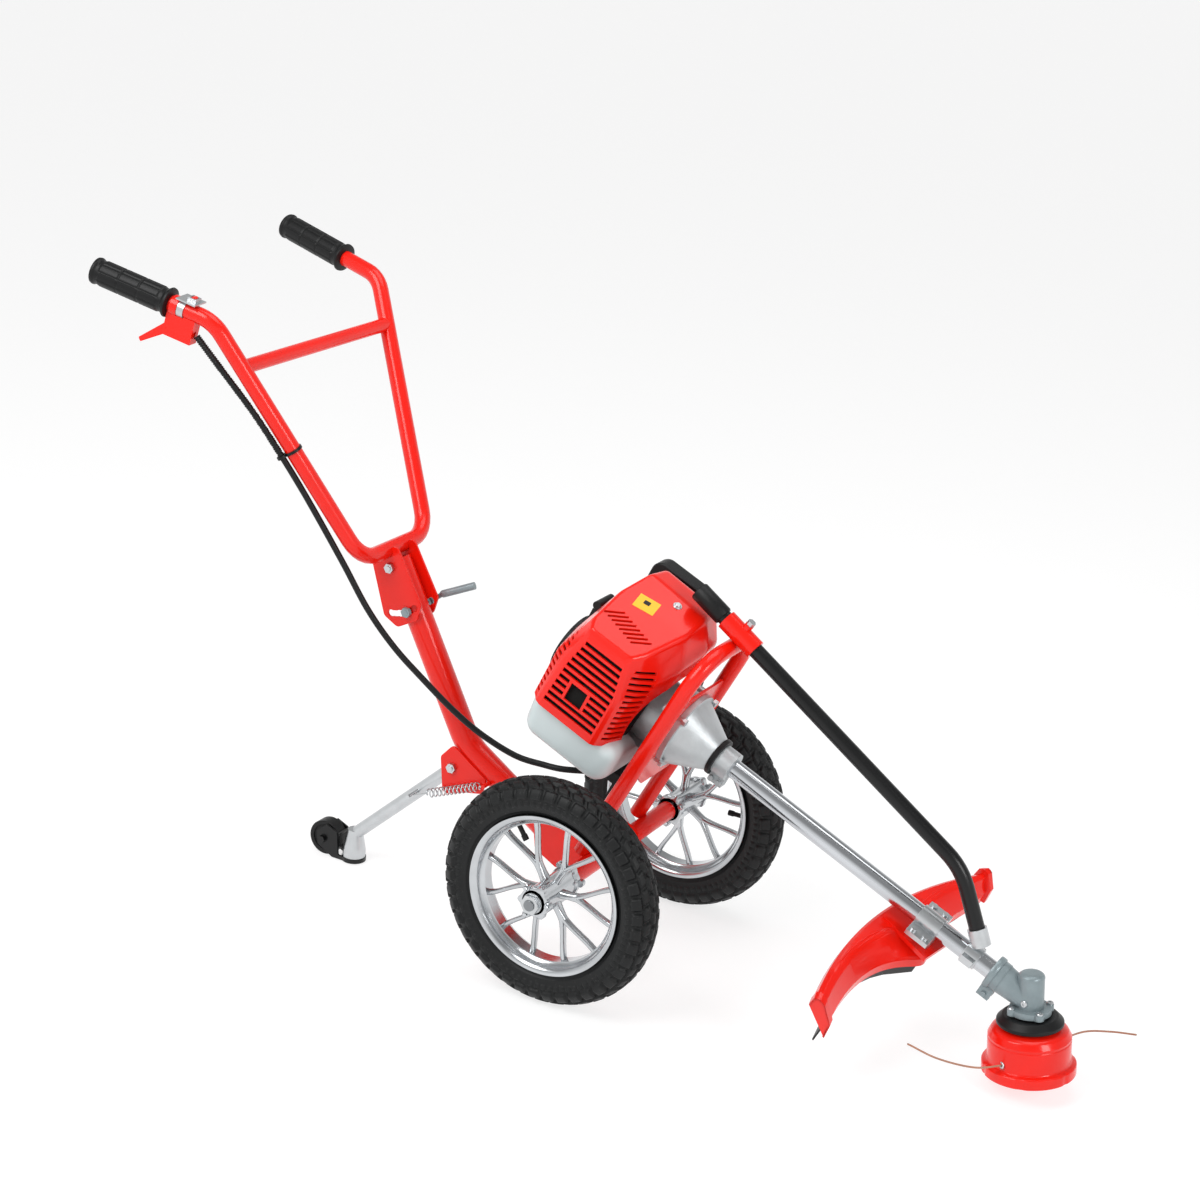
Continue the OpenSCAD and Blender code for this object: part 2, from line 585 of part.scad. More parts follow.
module fuel_tank() color(white) drive_frame() difference() {
  hull() {
    for (s = [-64, 28], y = [-84, 84]) ball([s, y, -71], 24);
    for (s = [-72, 36], y = [-92, 92]) ball([s, y, -46], 16);
  }
  pin_x(57, -200, 90);
  translate([0, 0, -16]) cube([400, 400, 26], center = true);
  translate([-66, 76, -40]) cylinder(h = 40, r = 12);
}
module fuel_cap() color(black) drive_frame() translate([-66, 76, -40]) {
  cylinder(h = 12, r = 12 - running);
  translate([0, 0, 12]) cylinder(h = 12, r = 17, $fn = 12);
}
module tank_stand() color(black) drive_frame() difference() {
  translate([12, -45, -130]) cube([46, 90, 38]);
  translate([20, -60, -140]) cube([30, 120, 30]);
  for (y = [-30, 0, 30]) translate([0, y - 9, -132]) cube([80, 18, 26]);
  hull() {
    for (s = [-64, 28], y = [-84, 84]) ball([s, y, -71], 24.2);
    for (s = [-72, 36], y = [-92, 92]) ball([s, y, -46], 16.2);
  }
}

module recoil_starter() color(black) drive_frame() difference() {
  union() {
    pin_x(56, -104, -70);
    pin_x(44, -112, -104);
    translate([-104, -12, 40]) cube([12, 24, 30]);
  }
  pin_x(50, -100, -60);
  for (k = [0:7]) rotate([45 * k, 0, 0]) translate([-120, -4, 24]) cube([20, 8, 14]);
}
module starter_grip() color(black) drive_frame() {
  translate([-98, 0, 70]) cylinder(h = 9, r = 4);
  translate([-98, -20, 75]) rotate([-90, 0, 0]) translate([0, -6, 0]) cylinder(h = 40, r = 6);
}
module carburettor() color(silver) drive_frame() {
  translate([-28, 43, 40]) cube([46, 31, 42]);
  translate([18, 60, 54]) cube([4, 14, 16]);
  rod([cyl_s, 28, 62], [cyl_s, 44, 62], 9);
}
module air_filter() color(black) drive_frame() hull() {
  for (s = [-70, -7], t = [36, 126]) translate([s, 74, t]) rotate([-90, 0, 0]) cylinder(h = 26, r = 16, $fn = 32);
  for (s = [-66, -11], t = [42, 120]) translate([s, 74, t]) rotate([-90, 0, 0]) cylinder(h = 38, r = 12, $fn = 32);
}

// ---------- drive line ----------
module clutch_housing() color(silver) drive_frame() rotate([0, 90, 0]) difference() {
  union() {
    translate([0, 0, 84]) cylinder(h = 8, r = 57);
    translate([0, 0, 92]) cylinder(h = 51, r1 = 52, r2 = 25);
  }
  translate([0, 0, 80]) cylinder(h = 12, r = 48);
  translate([0, 0, 92]) cylinder(h = 40, r1 = 48, r2 = 28);
  cylinder(h = 200, r = 13);
  for (y = [-44, 44], t = [-36, 36]) translate([t, y, 80]) cylinder(h = 20, r = 3.1);
}
module damper_ring() color(black) drive_frame() rotate([0, 90, 0]) translate([0, 0, 143]) linear_extrude(7) ring(27, 14);
module shaft_clamp() color(silver) drive_frame() difference() {
  union() {
    pin_x(21, 150, 172);
    translate([150, -8, -33]) cube([22, 16, 20]);
    for (s = [155, 167]) translate([s, 0, -27]) rotate([90, 0, 0]) cylinder(h = 26, r = 4, center = true);
  }
  pin_x(13, 100, 200);
  translate([140, -0.6, -40]) cube([40, 1.2, 25]);
}
module drive_tube() color(silver) drive_frame() rotate([0, 90, 0]) translate([0, 0, 124])
  linear_extrude(gear_s - 44 - 124) ring(shaft_d / 2, 1.5);

module drive_shaft() color(grey) drive_frame() {
  pin_x(4, 118, gear_s - 30);
  difference() {
    pin_x(24, 100, 118);
    pin_x(20, 90, 114);
  }
  rotate([0, 90, 0]) translate([0, 0, gear_s - 30]) cylinder(h = 10, r1 = 9, r2 = 6);
}

module gear_case() color(grey) {
  drive_frame() difference() {
    union() {
      pin_x(21, gear_s - 62, gear_s - 44);
      rotate([0, 90, 0]) translate([0, 0, gear_s - 44]) cylinder(h = 40, r1 = 20, r2 = 17);
      for (y = [-12, 4]) translate([gear_s - 62, y, -34]) cube([18, 8, 20]);
      translate([gear_s - 53, 0, -28]) rotate([90, 0, 0]) cylinder(h = 30, r = 3.5, center = true);
    }
    pin_x(shaft_d / 2, gear_s - 80, gear_s - 44);
    pin_x(11, gear_s - 46, gear_s - 17);
    translate([gear_s, 0, 0]) rotate([0, 150, 0]) cylinder(h = 90, r = 12.9, center = true);
  }
  spindle_frame() difference() {
    union() {
      translate([0, 0, -33]) cylinder(h = 46, r = 17);
      translate([0, 0, 8]) cylinder(h = 8, r = 27);
      for (a = [45:90:315]) rotate(a) translate([25, 0, 8]) cylinder(h = 8, r = 7);
    }
    translate([0, 0, -27]) cylinder(h = 60, r = 13);
    rotate([0, -150, 0]) pin_x(11, -60, 0);
  }
}

module line_head() {
  color(red) spindle_frame() difference() {
    union() {
      rotate_extrude() polygon([[0, 32], [38, 32], [47, 38], [head_d / 2 - 7, 47], [head_d / 2 - 7, 80],
                                [head_d / 2, 83], [head_d / 2, 97], [46, 104], [25, 107], [0, 107]]);
    }
    translate([0, 0, 90]) cylinder(h = 40, r = 22 + running);
  }
  color(black) spindle_frame() rotate_extrude() polygon([[0, 18], [36, 18], [43.5, 26], [43.5, 30], [38, 32], [0, 32]]);
  color(grey) spindle_frame() {
    translate([0, 0, -8]) cylinder(h = 26, r = 6);
    translate([0, 0, 6]) cylinder(h = 8, r1 = 6, r2 = 12);
  }
  color("#C9A98E") ground_frame() {
    cord(smooth(line_near, 4), line_r, 8);
    cord(smooth(line_far, 4), line_r, 8);
  }
}
knob_face = 15;
knob_reach = (spindle_z - sin(spindle_lean) * knob_face) / cos(spindle_lean);
module bump_knob() color(red) spindle_frame()
  rotate_extrude() polygon([[0, 97], [22, 97], [22, knob_reach - 5], [19.5, knob_reach - 1.5],
                            [knob_face, knob_reach], [0, knob_reach]]);

// ---------- guard and strut ----------
module guard_frame() { drive_frame() rotate([guard_roll, 0, 0]) translate([490, 0, 0])
  rotate([0, 0, -guard_skew]) translate([-490, 0, 0]) children(); }
function guard_rear(b) = 440 + 55 * pow(b / 210, 2);
function guard_front(b) = guard_rear(b) + 32 + 62 * exp(-norm([b, 12]) / 60) - 16 * pow(max(0, b - 100) / 65, 2);
function guard_top(b) = -32 + 5 * pow(b / 200, 2);
function guard_lip(b) = 34 + 6 * pow(b / 200, 2);
// Section: short rear wall, roof to the crease at k, sloping skirt and upright lip; 3 mm thick
function guard_cut(b) = let (r = guard_rear(b), f = guard_front(b), c = guard_top(b), k = r + max(12.5, 0.52 * (f - r)),
                             e = c - guard_lip(b)) [
  [r + 3, c - 20], [r + 5, c - 6], [r + 9, c - 3], [k - 2, c - 3.5], [f - 3.5, c - 24], [f - 2, e],
  [f + 1, e], [f, c - 22], [k + 1, c], [r + 7, c], [r + 2, c - 4], [r, c - 20]];
// Body of stacked closed outlines, each a list of points in x and z at its own y.
module stack(rows) {
  n = len(rows[0]);
  last = len(rows) - 1;
  points = [for (row = rows, p = row) p];
  walls = [for (i = [0:last - 1], k = [0:n - 1]) let (k2 = (k + 1) % n)
    each [[i * n + k, i * n + k2, (i + 1) * n + k2], [i * n + k, (i + 1) * n + k2, (i + 1) * n + k]]];
  ends = [[for (k = [n - 1:-1:0]) k], [for (k = [0:n - 1]) last * n + k]];
  polyhedron(points, concat(walls, ends));
}
guard_steps = [for (i = [0:28]) -206 + 13.25 * i];
module guard() color(red) {
  guard_frame() stack([for (b = guard_steps) [for (p = guard_cut(b)) [p[0], b, p[1]]]]);
  guard_frame() translate([450, -24, -33.5]) cube([80, 48, 6.5]);
}
module guard_flap() color(black) guard_frame()
  stack([for (b = [-202:20:158]) let (f = guard_front(b), c = guard_top(b), e = c - guard_lip(b))
    [for (p = [[f - 2.6, e + 8], [f - 5, e + 8], [f - 7, e - 24], [f - 4.6, e - 24]]) [p[0] - 1.6, b, p[1]]]]);
module guard_clamp() color(silver) drive_frame() rotate([guard_roll, 0, 0]) difference() {
  union() {
    translate([484, -34, -10]) cube([34, 68, 8]);
    pin_x(15.5, 484, 518);
    translate([484, -18, -27]) cube([34, 36, 16]);
    for (s = [492, 510], y = [-27, 27]) translate([s, y, -13]) cylinder(h = 15, r = 4);
  }
  pin_x(shaft_d / 2, 470, 530);
}

strut_down = unit(strut_foot - strut_bend);
module strut_tube() color(black) ground_frame()
  bent_pipe([strut_start, strut_bend, strut_foot], 90, 10.5, 1.8, [0, 1, 0]);
module strut_clamp() color(silver) difference() {
  union() {
    drive_frame() pin_x(15.5, 558, 580);
    drive_frame() for (y = [-24, 12]) translate([560, y, -5]) cube([18, 12, 10]);
    ground_frame() rod(strut_foot - 16 * strut_down, strut_foot + 8 * strut_down, 13);
  }
  drive_frame() pin_x(shaft_d / 2, 500, 620);
  ground_frame() rod(strut_foot - 30 * strut_down, strut_foot, 10.5);
}

// ---------- assembly ----------
post();
axle_gussets();
axle_tube();
axle_rod();
stand_bracket();
engine_hoop();
mount_plate();
shield_sleeve();
frame_bolts();
lock_lever();
stand_leg();
stand_spring();
caster_fork();
caster_wheel();
handle_tube();
handle_crossbar();
handle_plates();
grip_left();
grip_right();
switch_mount();
switch_rocker();
throttle_bracket();
throttle_lever();
throttle_cable();
cable_tie();
wheel_rim_left();
wheel_rim_right();
tyre_left();
tyre_right();
wheel_bearings_left();
wheel_bearings_right();
valve_left();
valve_right();
crankcase();
cylinder_barrel();  // cylinder
piston();
spark_plug();
crankshaft();
muffler();
engine_cover();
fuel_tank();
fuel_cap();
tank_stand();
recoil_starter();
starter_grip();
carburettor();
air_filter();
clutch_housing();
damper_ring();
shaft_clamp();
drive_tube();
drive_shaft();
gear_case();
guard();
guard_flap();
guard_clamp();
strut_tube();
strut_clamp();
line_head();
bump_knob();
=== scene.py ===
# %% [markdown]
# # A hand-pushed wheeled brush mower
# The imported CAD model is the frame: every place and every moving body comes from it. On top of it
# each visible piece gets its final shape and finish. The CAD solids that already have the right
# form are copied, joined and given eased edges; tyres, rims, spokes, cover, grips, spring, cable
# and cutting lines are worked out as surfaces with numpy.

# %% Load the frame and keep its box
import json
from math import radians, sin, cos

import bmesh
import bpy
import numpy as np
from mathutils import Matrix, Vector


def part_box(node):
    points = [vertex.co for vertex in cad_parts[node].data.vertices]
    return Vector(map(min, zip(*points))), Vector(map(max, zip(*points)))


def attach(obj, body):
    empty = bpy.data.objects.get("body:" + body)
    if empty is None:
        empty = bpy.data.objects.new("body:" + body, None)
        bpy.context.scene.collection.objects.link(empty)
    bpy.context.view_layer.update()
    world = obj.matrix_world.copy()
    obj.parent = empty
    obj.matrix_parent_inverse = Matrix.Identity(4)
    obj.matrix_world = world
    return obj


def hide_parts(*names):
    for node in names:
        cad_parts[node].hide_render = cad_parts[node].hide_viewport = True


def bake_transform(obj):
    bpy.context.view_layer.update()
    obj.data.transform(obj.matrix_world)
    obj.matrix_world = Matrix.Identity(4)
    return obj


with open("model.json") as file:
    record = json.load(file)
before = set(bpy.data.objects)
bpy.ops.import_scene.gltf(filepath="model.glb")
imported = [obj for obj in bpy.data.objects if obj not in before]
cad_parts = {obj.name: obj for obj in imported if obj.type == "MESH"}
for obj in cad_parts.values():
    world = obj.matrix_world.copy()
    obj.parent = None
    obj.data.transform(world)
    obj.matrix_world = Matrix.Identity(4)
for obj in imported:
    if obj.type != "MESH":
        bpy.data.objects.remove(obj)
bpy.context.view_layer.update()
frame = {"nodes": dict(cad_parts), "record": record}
nodes = frame["nodes"]
body_of = {n: b for b, ns in frame["record"]["behaviour"]["bodies"].items() for n in ns}
slot_of = {s["node"]: s["material_slot"] for s in frame["record"]["subparts"]}
MM = 0.001
pi = np.pi

# %% [markdown]
# The machine is laid out from the point on the ground under the axle. The drive line has a frame
# of its own: s runs down the shaft, y to the left and t square to both, so the engine and the
# shaft parts can be written with simple numbers. Both helpers give points in metres.

# %% Places on the machine
axle_low, axle_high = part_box("axle_rod")
AXLE_X = (axle_low.x + axle_high.x) / 2
AXLE_Z = (axle_low.z + axle_high.z) / 2
SLOPE = radians(23.5)
DOWN_SHAFT = np.array([cos(SLOPE), 0, -sin(SLOPE)])
SQUARE_UP = np.array([sin(SLOPE), 0, cos(SLOPE)])
CRANK_Z = 384.8


def ground(points):
    """Points in millimetres from the foot of the axle, turned into the row frame in metres."""
    return np.asarray(points, float) * MM + np.array([AXLE_X, 0, 0])


def drive(points):
    """Points s, y, t of the drive line, in millimetres: crank origin + s along + y left + t up."""
    p = np.asarray(points, float)
    row = p[..., :1] * DOWN_SHAFT + p[..., 1:2] * np.array([0, 1, 0]) + p[..., 2:] * SQUARE_UP
    return ground(row + np.array([0, 0, CRANK_Z]))


# %% [markdown]
# The camera comes early. It stands in front of the right-hand side at a person's eye height,
# with a long lens, and it is rolled by a few degrees as a hand-held one is.

# %% Camera
LENS, CAMERA_SPOT = 78.48, (1473.35, -2929.35, 1684.15)
azimuth, elevation, roll = radians(27.69084), radians(19.70604), radians(5.08974)
back = np.array([sin(azimuth) * cos(elevation), -cos(azimuth) * cos(elevation), sin(elevation)])
level = np.array([cos(azimuth), sin(azimuth), 0])
upright = np.cross(back, level)
right = cos(roll) * level + sin(roll) * upright
up = -sin(roll) * level + cos(roll) * upright
camera_data = bpy.data.cameras.new("camera")
camera_data.sensor_width = 36.0
camera_data.lens = LENS
camera_data.clip_end = 30.0
camera = bpy.data.objects.new("camera", camera_data)
bpy.context.scene.collection.objects.link(camera)
camera.matrix_world = Matrix(np.vstack([np.column_stack(
    [right, up, back, ground(CAMERA_SPOT)]), [0, 0, 0, 1]]).tolist())
bpy.context.scene.camera = camera

# %% [markdown]
# Studio: a white floor and a sky that is white at the horizon and darker overhead, so that metal
# has something to mirror. One large soft lamp over the right shoulder draws the long highlights
# on the tubes, and two more lift the front and the top. The floor glows a little, which keeps its
# shadows faint.

# %% Floor, sky and lamps
world = bpy.data.worlds.new("studio")
bpy.context.scene.world = world
world.use_nodes = True
sky = world.node_tree.nodes
height = sky.new("ShaderNodeSeparateXYZ")
fade = sky.new("ShaderNodeValToRGB")
for stop, (place, grey) in zip(fade.color_ramp.elements, [(0.12, 1.0), (0.62, 0.34)]):
    stop.position, stop.color = place, (grey, grey, grey, 1)
for start, end in ((sky.new("ShaderNodeTexCoord").outputs["Generated"], height.inputs[0]),
                   (height.outputs["Z"], fade.inputs["Fac"]),
                   (fade.outputs["Color"], sky["Background"].inputs["Color"])):
    world.node_tree.links.new(start, end)
bpy.context.scene.view_settings.view_transform = "Standard"


def lamp(name, place, aim, size, power):
    """A square soft lamp at place, facing aim."""
    data = bpy.data.lights.new(name, "AREA")
    data.size, data.energy = size, power
    made = bpy.data.objects.new(name, data)
    bpy.context.scene.collection.objects.link(made)
    turn = (Vector(aim) - Vector(place)).to_track_quat("-Z", "Y")
    made.matrix_world = Matrix.Translation(place) @ turn.to_matrix().to_4x4()


lamp("key_lamp", (-0.9, -1.9, 2.7), (0, 0, 0.3), 1.7, 56)
lamp("front_lamp", (2.6, -0.9, 1.6), (0.1, 0, 0.3), 0.9, 22)
lamp("top_lamp", (0.2, 0.5, 3.0), (0, 0, 0.3), 1.8, 24)

floor_mesh = bpy.data.meshes.new("floor")
floor_mesh.from_pydata([(-60, -60, 0), (60, -60, 0), (60, 60, 0), (-60, 60, 0)], [], [(0, 1, 2, 3)])
floor = bpy.data.objects.new("floor", floor_mesh)
bpy.context.scene.collection.objects.link(floor)

# %% [markdown]
# Finishes are node trees, but they are written as sums: Wire holds one output socket, and adding,
# taking away or multiplying wires lays the Math nodes. Every other node comes from Wire.node.
# Numbers that hold all over a surface are set on the shader's own sockets.

# %% A socket that can be used in sums


class Wire:
    """One output socket of a material, with + - * and a way to make any further node."""

    def __init__(self, tree, socket):
        """Holds the node tree and the socket the value comes out of."""
        self.tree, self.socket = tree, socket

    def node(self, kind, inputs, out=0, stops=None, **settings):
        """A new node: its settings first, then values or wires for the named inputs."""
        made = self.tree.nodes.new(kind)
        for key, value in settings.items():
            setattr(made, key, value)
        if stops:
            ramp = made.color_ramp.elements
            while len(ramp) < len(stops):
                ramp.new(0.5)
            for element, (place, colour) in zip(ramp, stops):
                element.position, element.color = place, colour
        for key, value in inputs.items():
            if isinstance(value, Wire):
                self.tree.links.new(value.socket, made.inputs[key])
            else:
                made.inputs[key].default_value = value
        return Wire(self.tree, made.outputs[out])

    def sum(self, operation, first, second):
        """A Math node over two wires or numbers."""
        return self.node("ShaderNodeMath", {0: first, 1: second}, operation=operation)

    def __add__(self, other): return self.sum("ADD", self, other)
    def __radd__(self, other): return self.sum("ADD", other, self)
    def __sub__(self, other): return self.sum("SUBTRACT", self, other)
    def __rsub__(self, other): return self.sum("SUBTRACT", other, self)
    def __mul__(self, other): return self.sum("MULTIPLY", self, other)
    def __rmul__(self, other): return self.sum("MULTIPLY", other, self)


# %% [markdown]
# Most surfaces of the machine are one of a few kinds: coated, moulded, cast or drawn. One helper
# makes them all: the colour drifts between two shades in large soft patches, the gloss varies a
# little, fine grain gives the skin of the material, and the shader's own sockets carry the rest.

# %% The finish helper


def colours(hex_code, gain=1.0):
    """A hex colour as linear light, times gain."""
    srgb = np.array([int(hex_code[i:i + 2], 16) for i in (1, 3, 5)]) / 255
    linear = np.where(srgb <= 0.04045, srgb / 12.92, ((srgb + 0.055) / 1.055) ** 2.4)
    return (*np.clip(linear * gain, 0, 1), 1.0)


def finish(name, colour, rough, metal=0.0, coat=0.0, drift=0.88, drift_size=14.0, gloss=0.05,
           grain=0.1, grain_size=600.0, stretch=(1, 1, 1), speck=0.0, coat_rough=0.06, mirror=0.5):
    """A surface whose colour drifts to drift times its own, with grain as a fine bump."""
    made = bpy.data.materials.new(name)
    made.use_nodes = True
    tree = made.node_tree
    shader = tree.nodes["Principled BSDF"]
    place = Wire(tree, tree.nodes.new("ShaderNodeTexCoord").outputs["Object"])
    place = place.node("ShaderNodeMapping", {"Vector": place, "Scale": stretch})
    broad = place.node("ShaderNodeTexNoise", {"Vector": place, "Scale": drift_size, "Detail": 4.0})
    fine = place.node("ShaderNodeTexNoise", {"Vector": place, "Scale": grain_size, "Detail": 3.0})
    light, dark = colours(colour), colours(colour, drift)
    tone = broad.node("ShaderNodeValToRGB", {"Fac": broad}, stops=[(0.35, dark), (0.62, light)])
    if speck:
        dust = place.node("ShaderNodeTexNoise", {"Vector": place, "Scale": 260.0, "Detail": 6.0})
        mask = dust.node("ShaderNodeMapRange", {"Value": dust, "From Min": 0.62, "From Max": 0.72,
                                                "To Max": speck})
        tone = tone.node("ShaderNodeMix", {"Factor": mask, 6: tone, 7: (0.55, 0.53, 0.5, 1)}, out=2,
                         data_type="RGBA")
    tree.links.new(tone.socket, shader.inputs["Base Color"])
    shine = rough - gloss + broad * (2 * gloss) * 0.5 + fine * gloss
    tree.links.new(shine.socket, shader.inputs["Roughness"])
    bump = fine.node("ShaderNodeBump", {"Height": fine, "Strength": grain, "Distance": 0.0004})
    tree.links.new(bump.socket, shader.inputs["Normal"])
    shader.inputs["Metallic"].default_value = metal
    shader.inputs["Coat Weight"].default_value = coat
    shader.inputs["Coat Roughness"].default_value = coat_rough
    shader.inputs["Specular IOR Level"].default_value = mirror
    return made


# %% [markdown]
# Each slot of the CAD model gets one finish. A few more belong to pieces that only the scene has:
# the floor, the label and its mark, the painted-shade sheet, the cutting line and the grey castings.

# %% Finishes of this machine
RED = "#E61808"
paint = {
    "red_paint": finish("red_powder_coat", RED, 0.25, coat=0.2, drift=0.93, gloss=0.02, grain=0.012,
                        grain_size=240.0, mirror=0.3),
    "red_cover": finish("red_moulded_gloss", "#EA190A", 0.22, coat=0.2, drift=0.92, gloss=0.02,
                        grain=0.02, grain_size=500.0, coat_rough=0.03, mirror=0.28),
    "black_paint": finish("black_satin_coat", "#0B0C0D", 0.34, coat=0.12, drift=0.8, grain=0.05,
                          mirror=0.3),
    "zinc": finish("zinc_plate", "#C9CCCE", 0.30, metal=1.0, drift=0.93, drift_size=60.0,
                   gloss=0.02, grain=0.02),
    "steel": finish("turned_steel", "#8D9093", 0.33, metal=1.0, drift=0.8, gloss=0.08),
    "alu_rim": finish("polished_aluminium", "#C6C9CC", 0.21, metal=1.0, drift=0.82, gloss=0.07,
                      grain=0.05, grain_size=260.0),
    "alu_tube": finish("drawn_aluminium", "#CDD0D4", 0.17, metal=1.0, drift=0.88, gloss=0.05,
                       grain=0.06, grain_size=90.0, stretch=(0.2, 6, 1.0)),
    "alu_cast": finish("cast_aluminium", "#C3C8CA", 0.42, metal=0.72, drift=0.84, gloss=0.08,
                       grain=0.5, grain_size=420.0, drift_size=40.0),
    "tyre": finish("tyre_rubber", "#0C0E0F", 0.50, drift=0.7, gloss=0.08, grain=0.35,
                   grain_size=900.0, drift_size=22.0, speck=0.04, mirror=0.32),
    "rubber": finish("soft_black_rubber", "#0B0C0D", 0.45, drift=0.75, grain=0.3,
                     grain_size=1100.0, mirror=0.3),
    "black_plastic": finish("black_moulded", "#0B0C0D", 0.40, drift=0.8, grain=0.4,
                            grain_size=1300.0, mirror=0.3),
    "tank": finish("milky_polyethylene", "#CDD8D9", 0.36, drift=0.9, drift_size=9.0, grain=0.25,
                   grain_size=700.0, mirror=0.35),
}
paint["floor"] = finish("studio_floor", "#9C9C9C", 0.7, drift=0.99, grain=0.0, mirror=0.1)
FLOOR_GLOW = 0.74
glow = paint["floor"].node_tree.nodes["Principled BSDF"].inputs
glow["Emission Color"].default_value = (1, 1, 1, 1)
glow["Emission Strength"].default_value = FLOOR_GLOW
paint["label"] = finish("yellow_label", "#F2B705", 0.35, coat=0.2, drift=0.95, grain=0.0, mirror=0.3)
paint["ink"] = finish("black_ink", "#0C0C0C", 0.4, drift=0.9, grain=0.0, mirror=0.3)
# Near-black paint for the sheet behind the louvres, which is painted shade for the inside of the cover
paint["dark"] = finish("painted_shade_black", "#080706", 0.7, drift=0.7, grain=0.3, mirror=0.2)
paint["line"] = finish("tan_nylon", "#AF8069", 0.34, coat=0.1, drift=0.85, grain=0.1, mirror=0.3)
paint["gear_grey"] = finish("grey_cast_coat", "#89969A", 0.36, metal=0.35, drift=0.86, gloss=0.07,
                            grain=0.4, grain_size=420.0, drift_size=40.0, mirror=0.4)
floor.data.materials.append(paint["floor"])

# %% [markdown]
# A CAD solid arrives as loose triangles with knife-sharp edges. A real part has a small radius
# on every edge, and that radius is what catches the light. So each solid that has the right form
# is copied, its triangles are joined, its flat faces made whole, and a Bevel eases the edges.

# %% Eased copies of CAD solids


def settle(made, body, slot, material=None):
    """Gives a finished piece its material, picked by its slot unless another is named, and its body."""
    made.data.materials.clear()
    made.data.materials.append(paint[material or slot])
    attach(made, body)
    return made


def eased(node, width=0.7, sharp=35, segments=2, material=None):
    """A joined copy of a CAD node with edges rounded to width millimetres; it replaces the node."""
    mesh = nodes[node].data.copy()
    for attribute in ("custom_normal", "sharp_face", "sharp_edge"):
        if attribute in mesh.attributes:
            mesh.attributes.remove(mesh.attributes[attribute])
    made = bpy.data.objects.new(node + "_piece", mesh)
    bpy.context.scene.collection.objects.link(made)
    form = bmesh.new()
    form.from_mesh(mesh)
    bmesh.ops.remove_doubles(form, verts=form.verts, dist=2e-5)
    bmesh.ops.dissolve_limit(form, angle_limit=radians(0.6), verts=form.verts, edges=form.edges)
    form.to_mesh(mesh)
    form.free()
    mesh.polygons.foreach_set("use_smooth", np.ones(len(mesh.polygons), bool))
    mesh.set_sharp_from_angle(angle=radians(sharp))
    if width:
        bevel = made.modifiers.new("eased", "BEVEL")
        bevel.width, bevel.segments = width * MM, segments
        bevel.limit_method, bevel.angle_limit = "ANGLE", radians(sharp)
        bevel.harden_normals = True
        bevel.use_clamp_overlap = True
    settle(made, body_of[node], slot_of[node], material)
    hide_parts(node)
    return made


# %% [markdown]
# New surfaces are grids of points: one parameter runs along the piece, the other round it. The
# sheet helper turns such a grid into a mesh, closed round either way, with flat or pointed ends.

# %% Grid surfaces


def sheet(name, grid, body, slot, round_v=True, round_u=False, caps=True, material=None,
          standing_for=(), sharp=None, inside_out=False):
    """A mesh over grid[u, v]: quads between neighbouring points, ends closed by a fan of faces."""
    rows, columns = grid.shape[:2]
    index = np.arange(rows * columns).reshape(rows, columns)
    along = np.vstack([index, index[:1]]) if round_u else index
    both_ways = np.hstack([along, along[:, :1]]) if round_v else along
    quads = np.stack([both_ways[:-1, :-1], both_ways[1:, :-1], both_ways[1:, 1:],
                      both_ways[:-1, 1:]], -1).reshape(-1, 4)
    if inside_out:
        quads = quads[:, ::-1]
    faces = quads.tolist()
    if caps and not round_u and round_v:
        first, last = index[0], index[-1][::-1]
        ends = [first, last] if not inside_out else [first[::-1], last[::-1]]
        faces += [e.tolist() for e in ends]
    mesh = bpy.data.meshes.new(name)
    mesh.from_pydata(grid.reshape(-1, 3).tolist(), [], faces)
    mesh.polygons.foreach_set("use_smooth", np.ones(len(mesh.polygons), bool))
    if sharp:
        mesh.set_sharp_from_angle(angle=radians(sharp))
    made = bpy.data.objects.new(name, mesh)
    bpy.context.scene.collection.objects.link(made)
    if body:
        settle(made, body, slot, material)
    for node in standing_for:
        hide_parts(node)
    return made


def unit(v):
    """Each vector made one long."""
    return v / np.linalg.norm(v, axis=-1, keepdims=True)


def route(points, per_leg=8):
    """A smooth line through the points: each leg is a cubic whose slopes come from its neighbours."""
    p = np.asarray(points, float)
    p = np.vstack([2 * p[0] - p[1], p, 2 * p[-1] - p[-2]])
    k = np.linspace(0, 1, per_leg, endpoint=False)[None, :, None]
    a, b, c, d = (p[i:len(p) - 3 + i, None, :] for i in range(4))
    line = 0.5 * (2 * b + (c - a) * k + (2 * a - 5 * b + 4 * c - d) * k ** 2
                  + (3 * b - a - 3 * c + d) * k ** 3)
    return np.vstack([line.reshape(-1, 3), p[-2:-1]])


def tube(line, radius, sides=20, aside=(0.1, 0.2, 1.0)):
    """Rings round a line: line + radius * (cos w * n1 + sin w * n2), n1 and n2 square to it."""
    ahead = unit(np.gradient(line, axis=0))
    n1 = unit(np.cross(ahead, np.asarray(aside, float)))
    n2 = np.cross(ahead, n1)
    w = np.linspace(0, 2 * pi, sides, endpoint=False)[None, :, None]
    r = np.broadcast_to(np.asarray(radius, float).reshape(-1, 1, 1), (len(line), sides, 1))
    return line[:, None] + r * (np.cos(w) * n1[:, None] + np.sin(w) * n2[:, None])


def turned(profile, start, axis, steps=64, ripple=None):
    """A lathe form: profile rows are (distance along the axis, radius); ripple(a, w) scales it."""
    axis = unit(np.asarray(axis, float))
    n1 = unit(np.cross(axis, [0.3, 0.9, 0.2]))
    n2 = np.cross(axis, n1)
    w = np.linspace(0, 2 * pi, steps, endpoint=False)[None, :, None]
    profile = np.asarray(profile, float)
    a, r = profile[:, :1, None], profile[:, 1:, None]
    if ripple:
        r = r * ripple(a, w)
    return np.asarray(start, float) + a * axis + r * (np.cos(w) * n1 + np.sin(w) * n2)


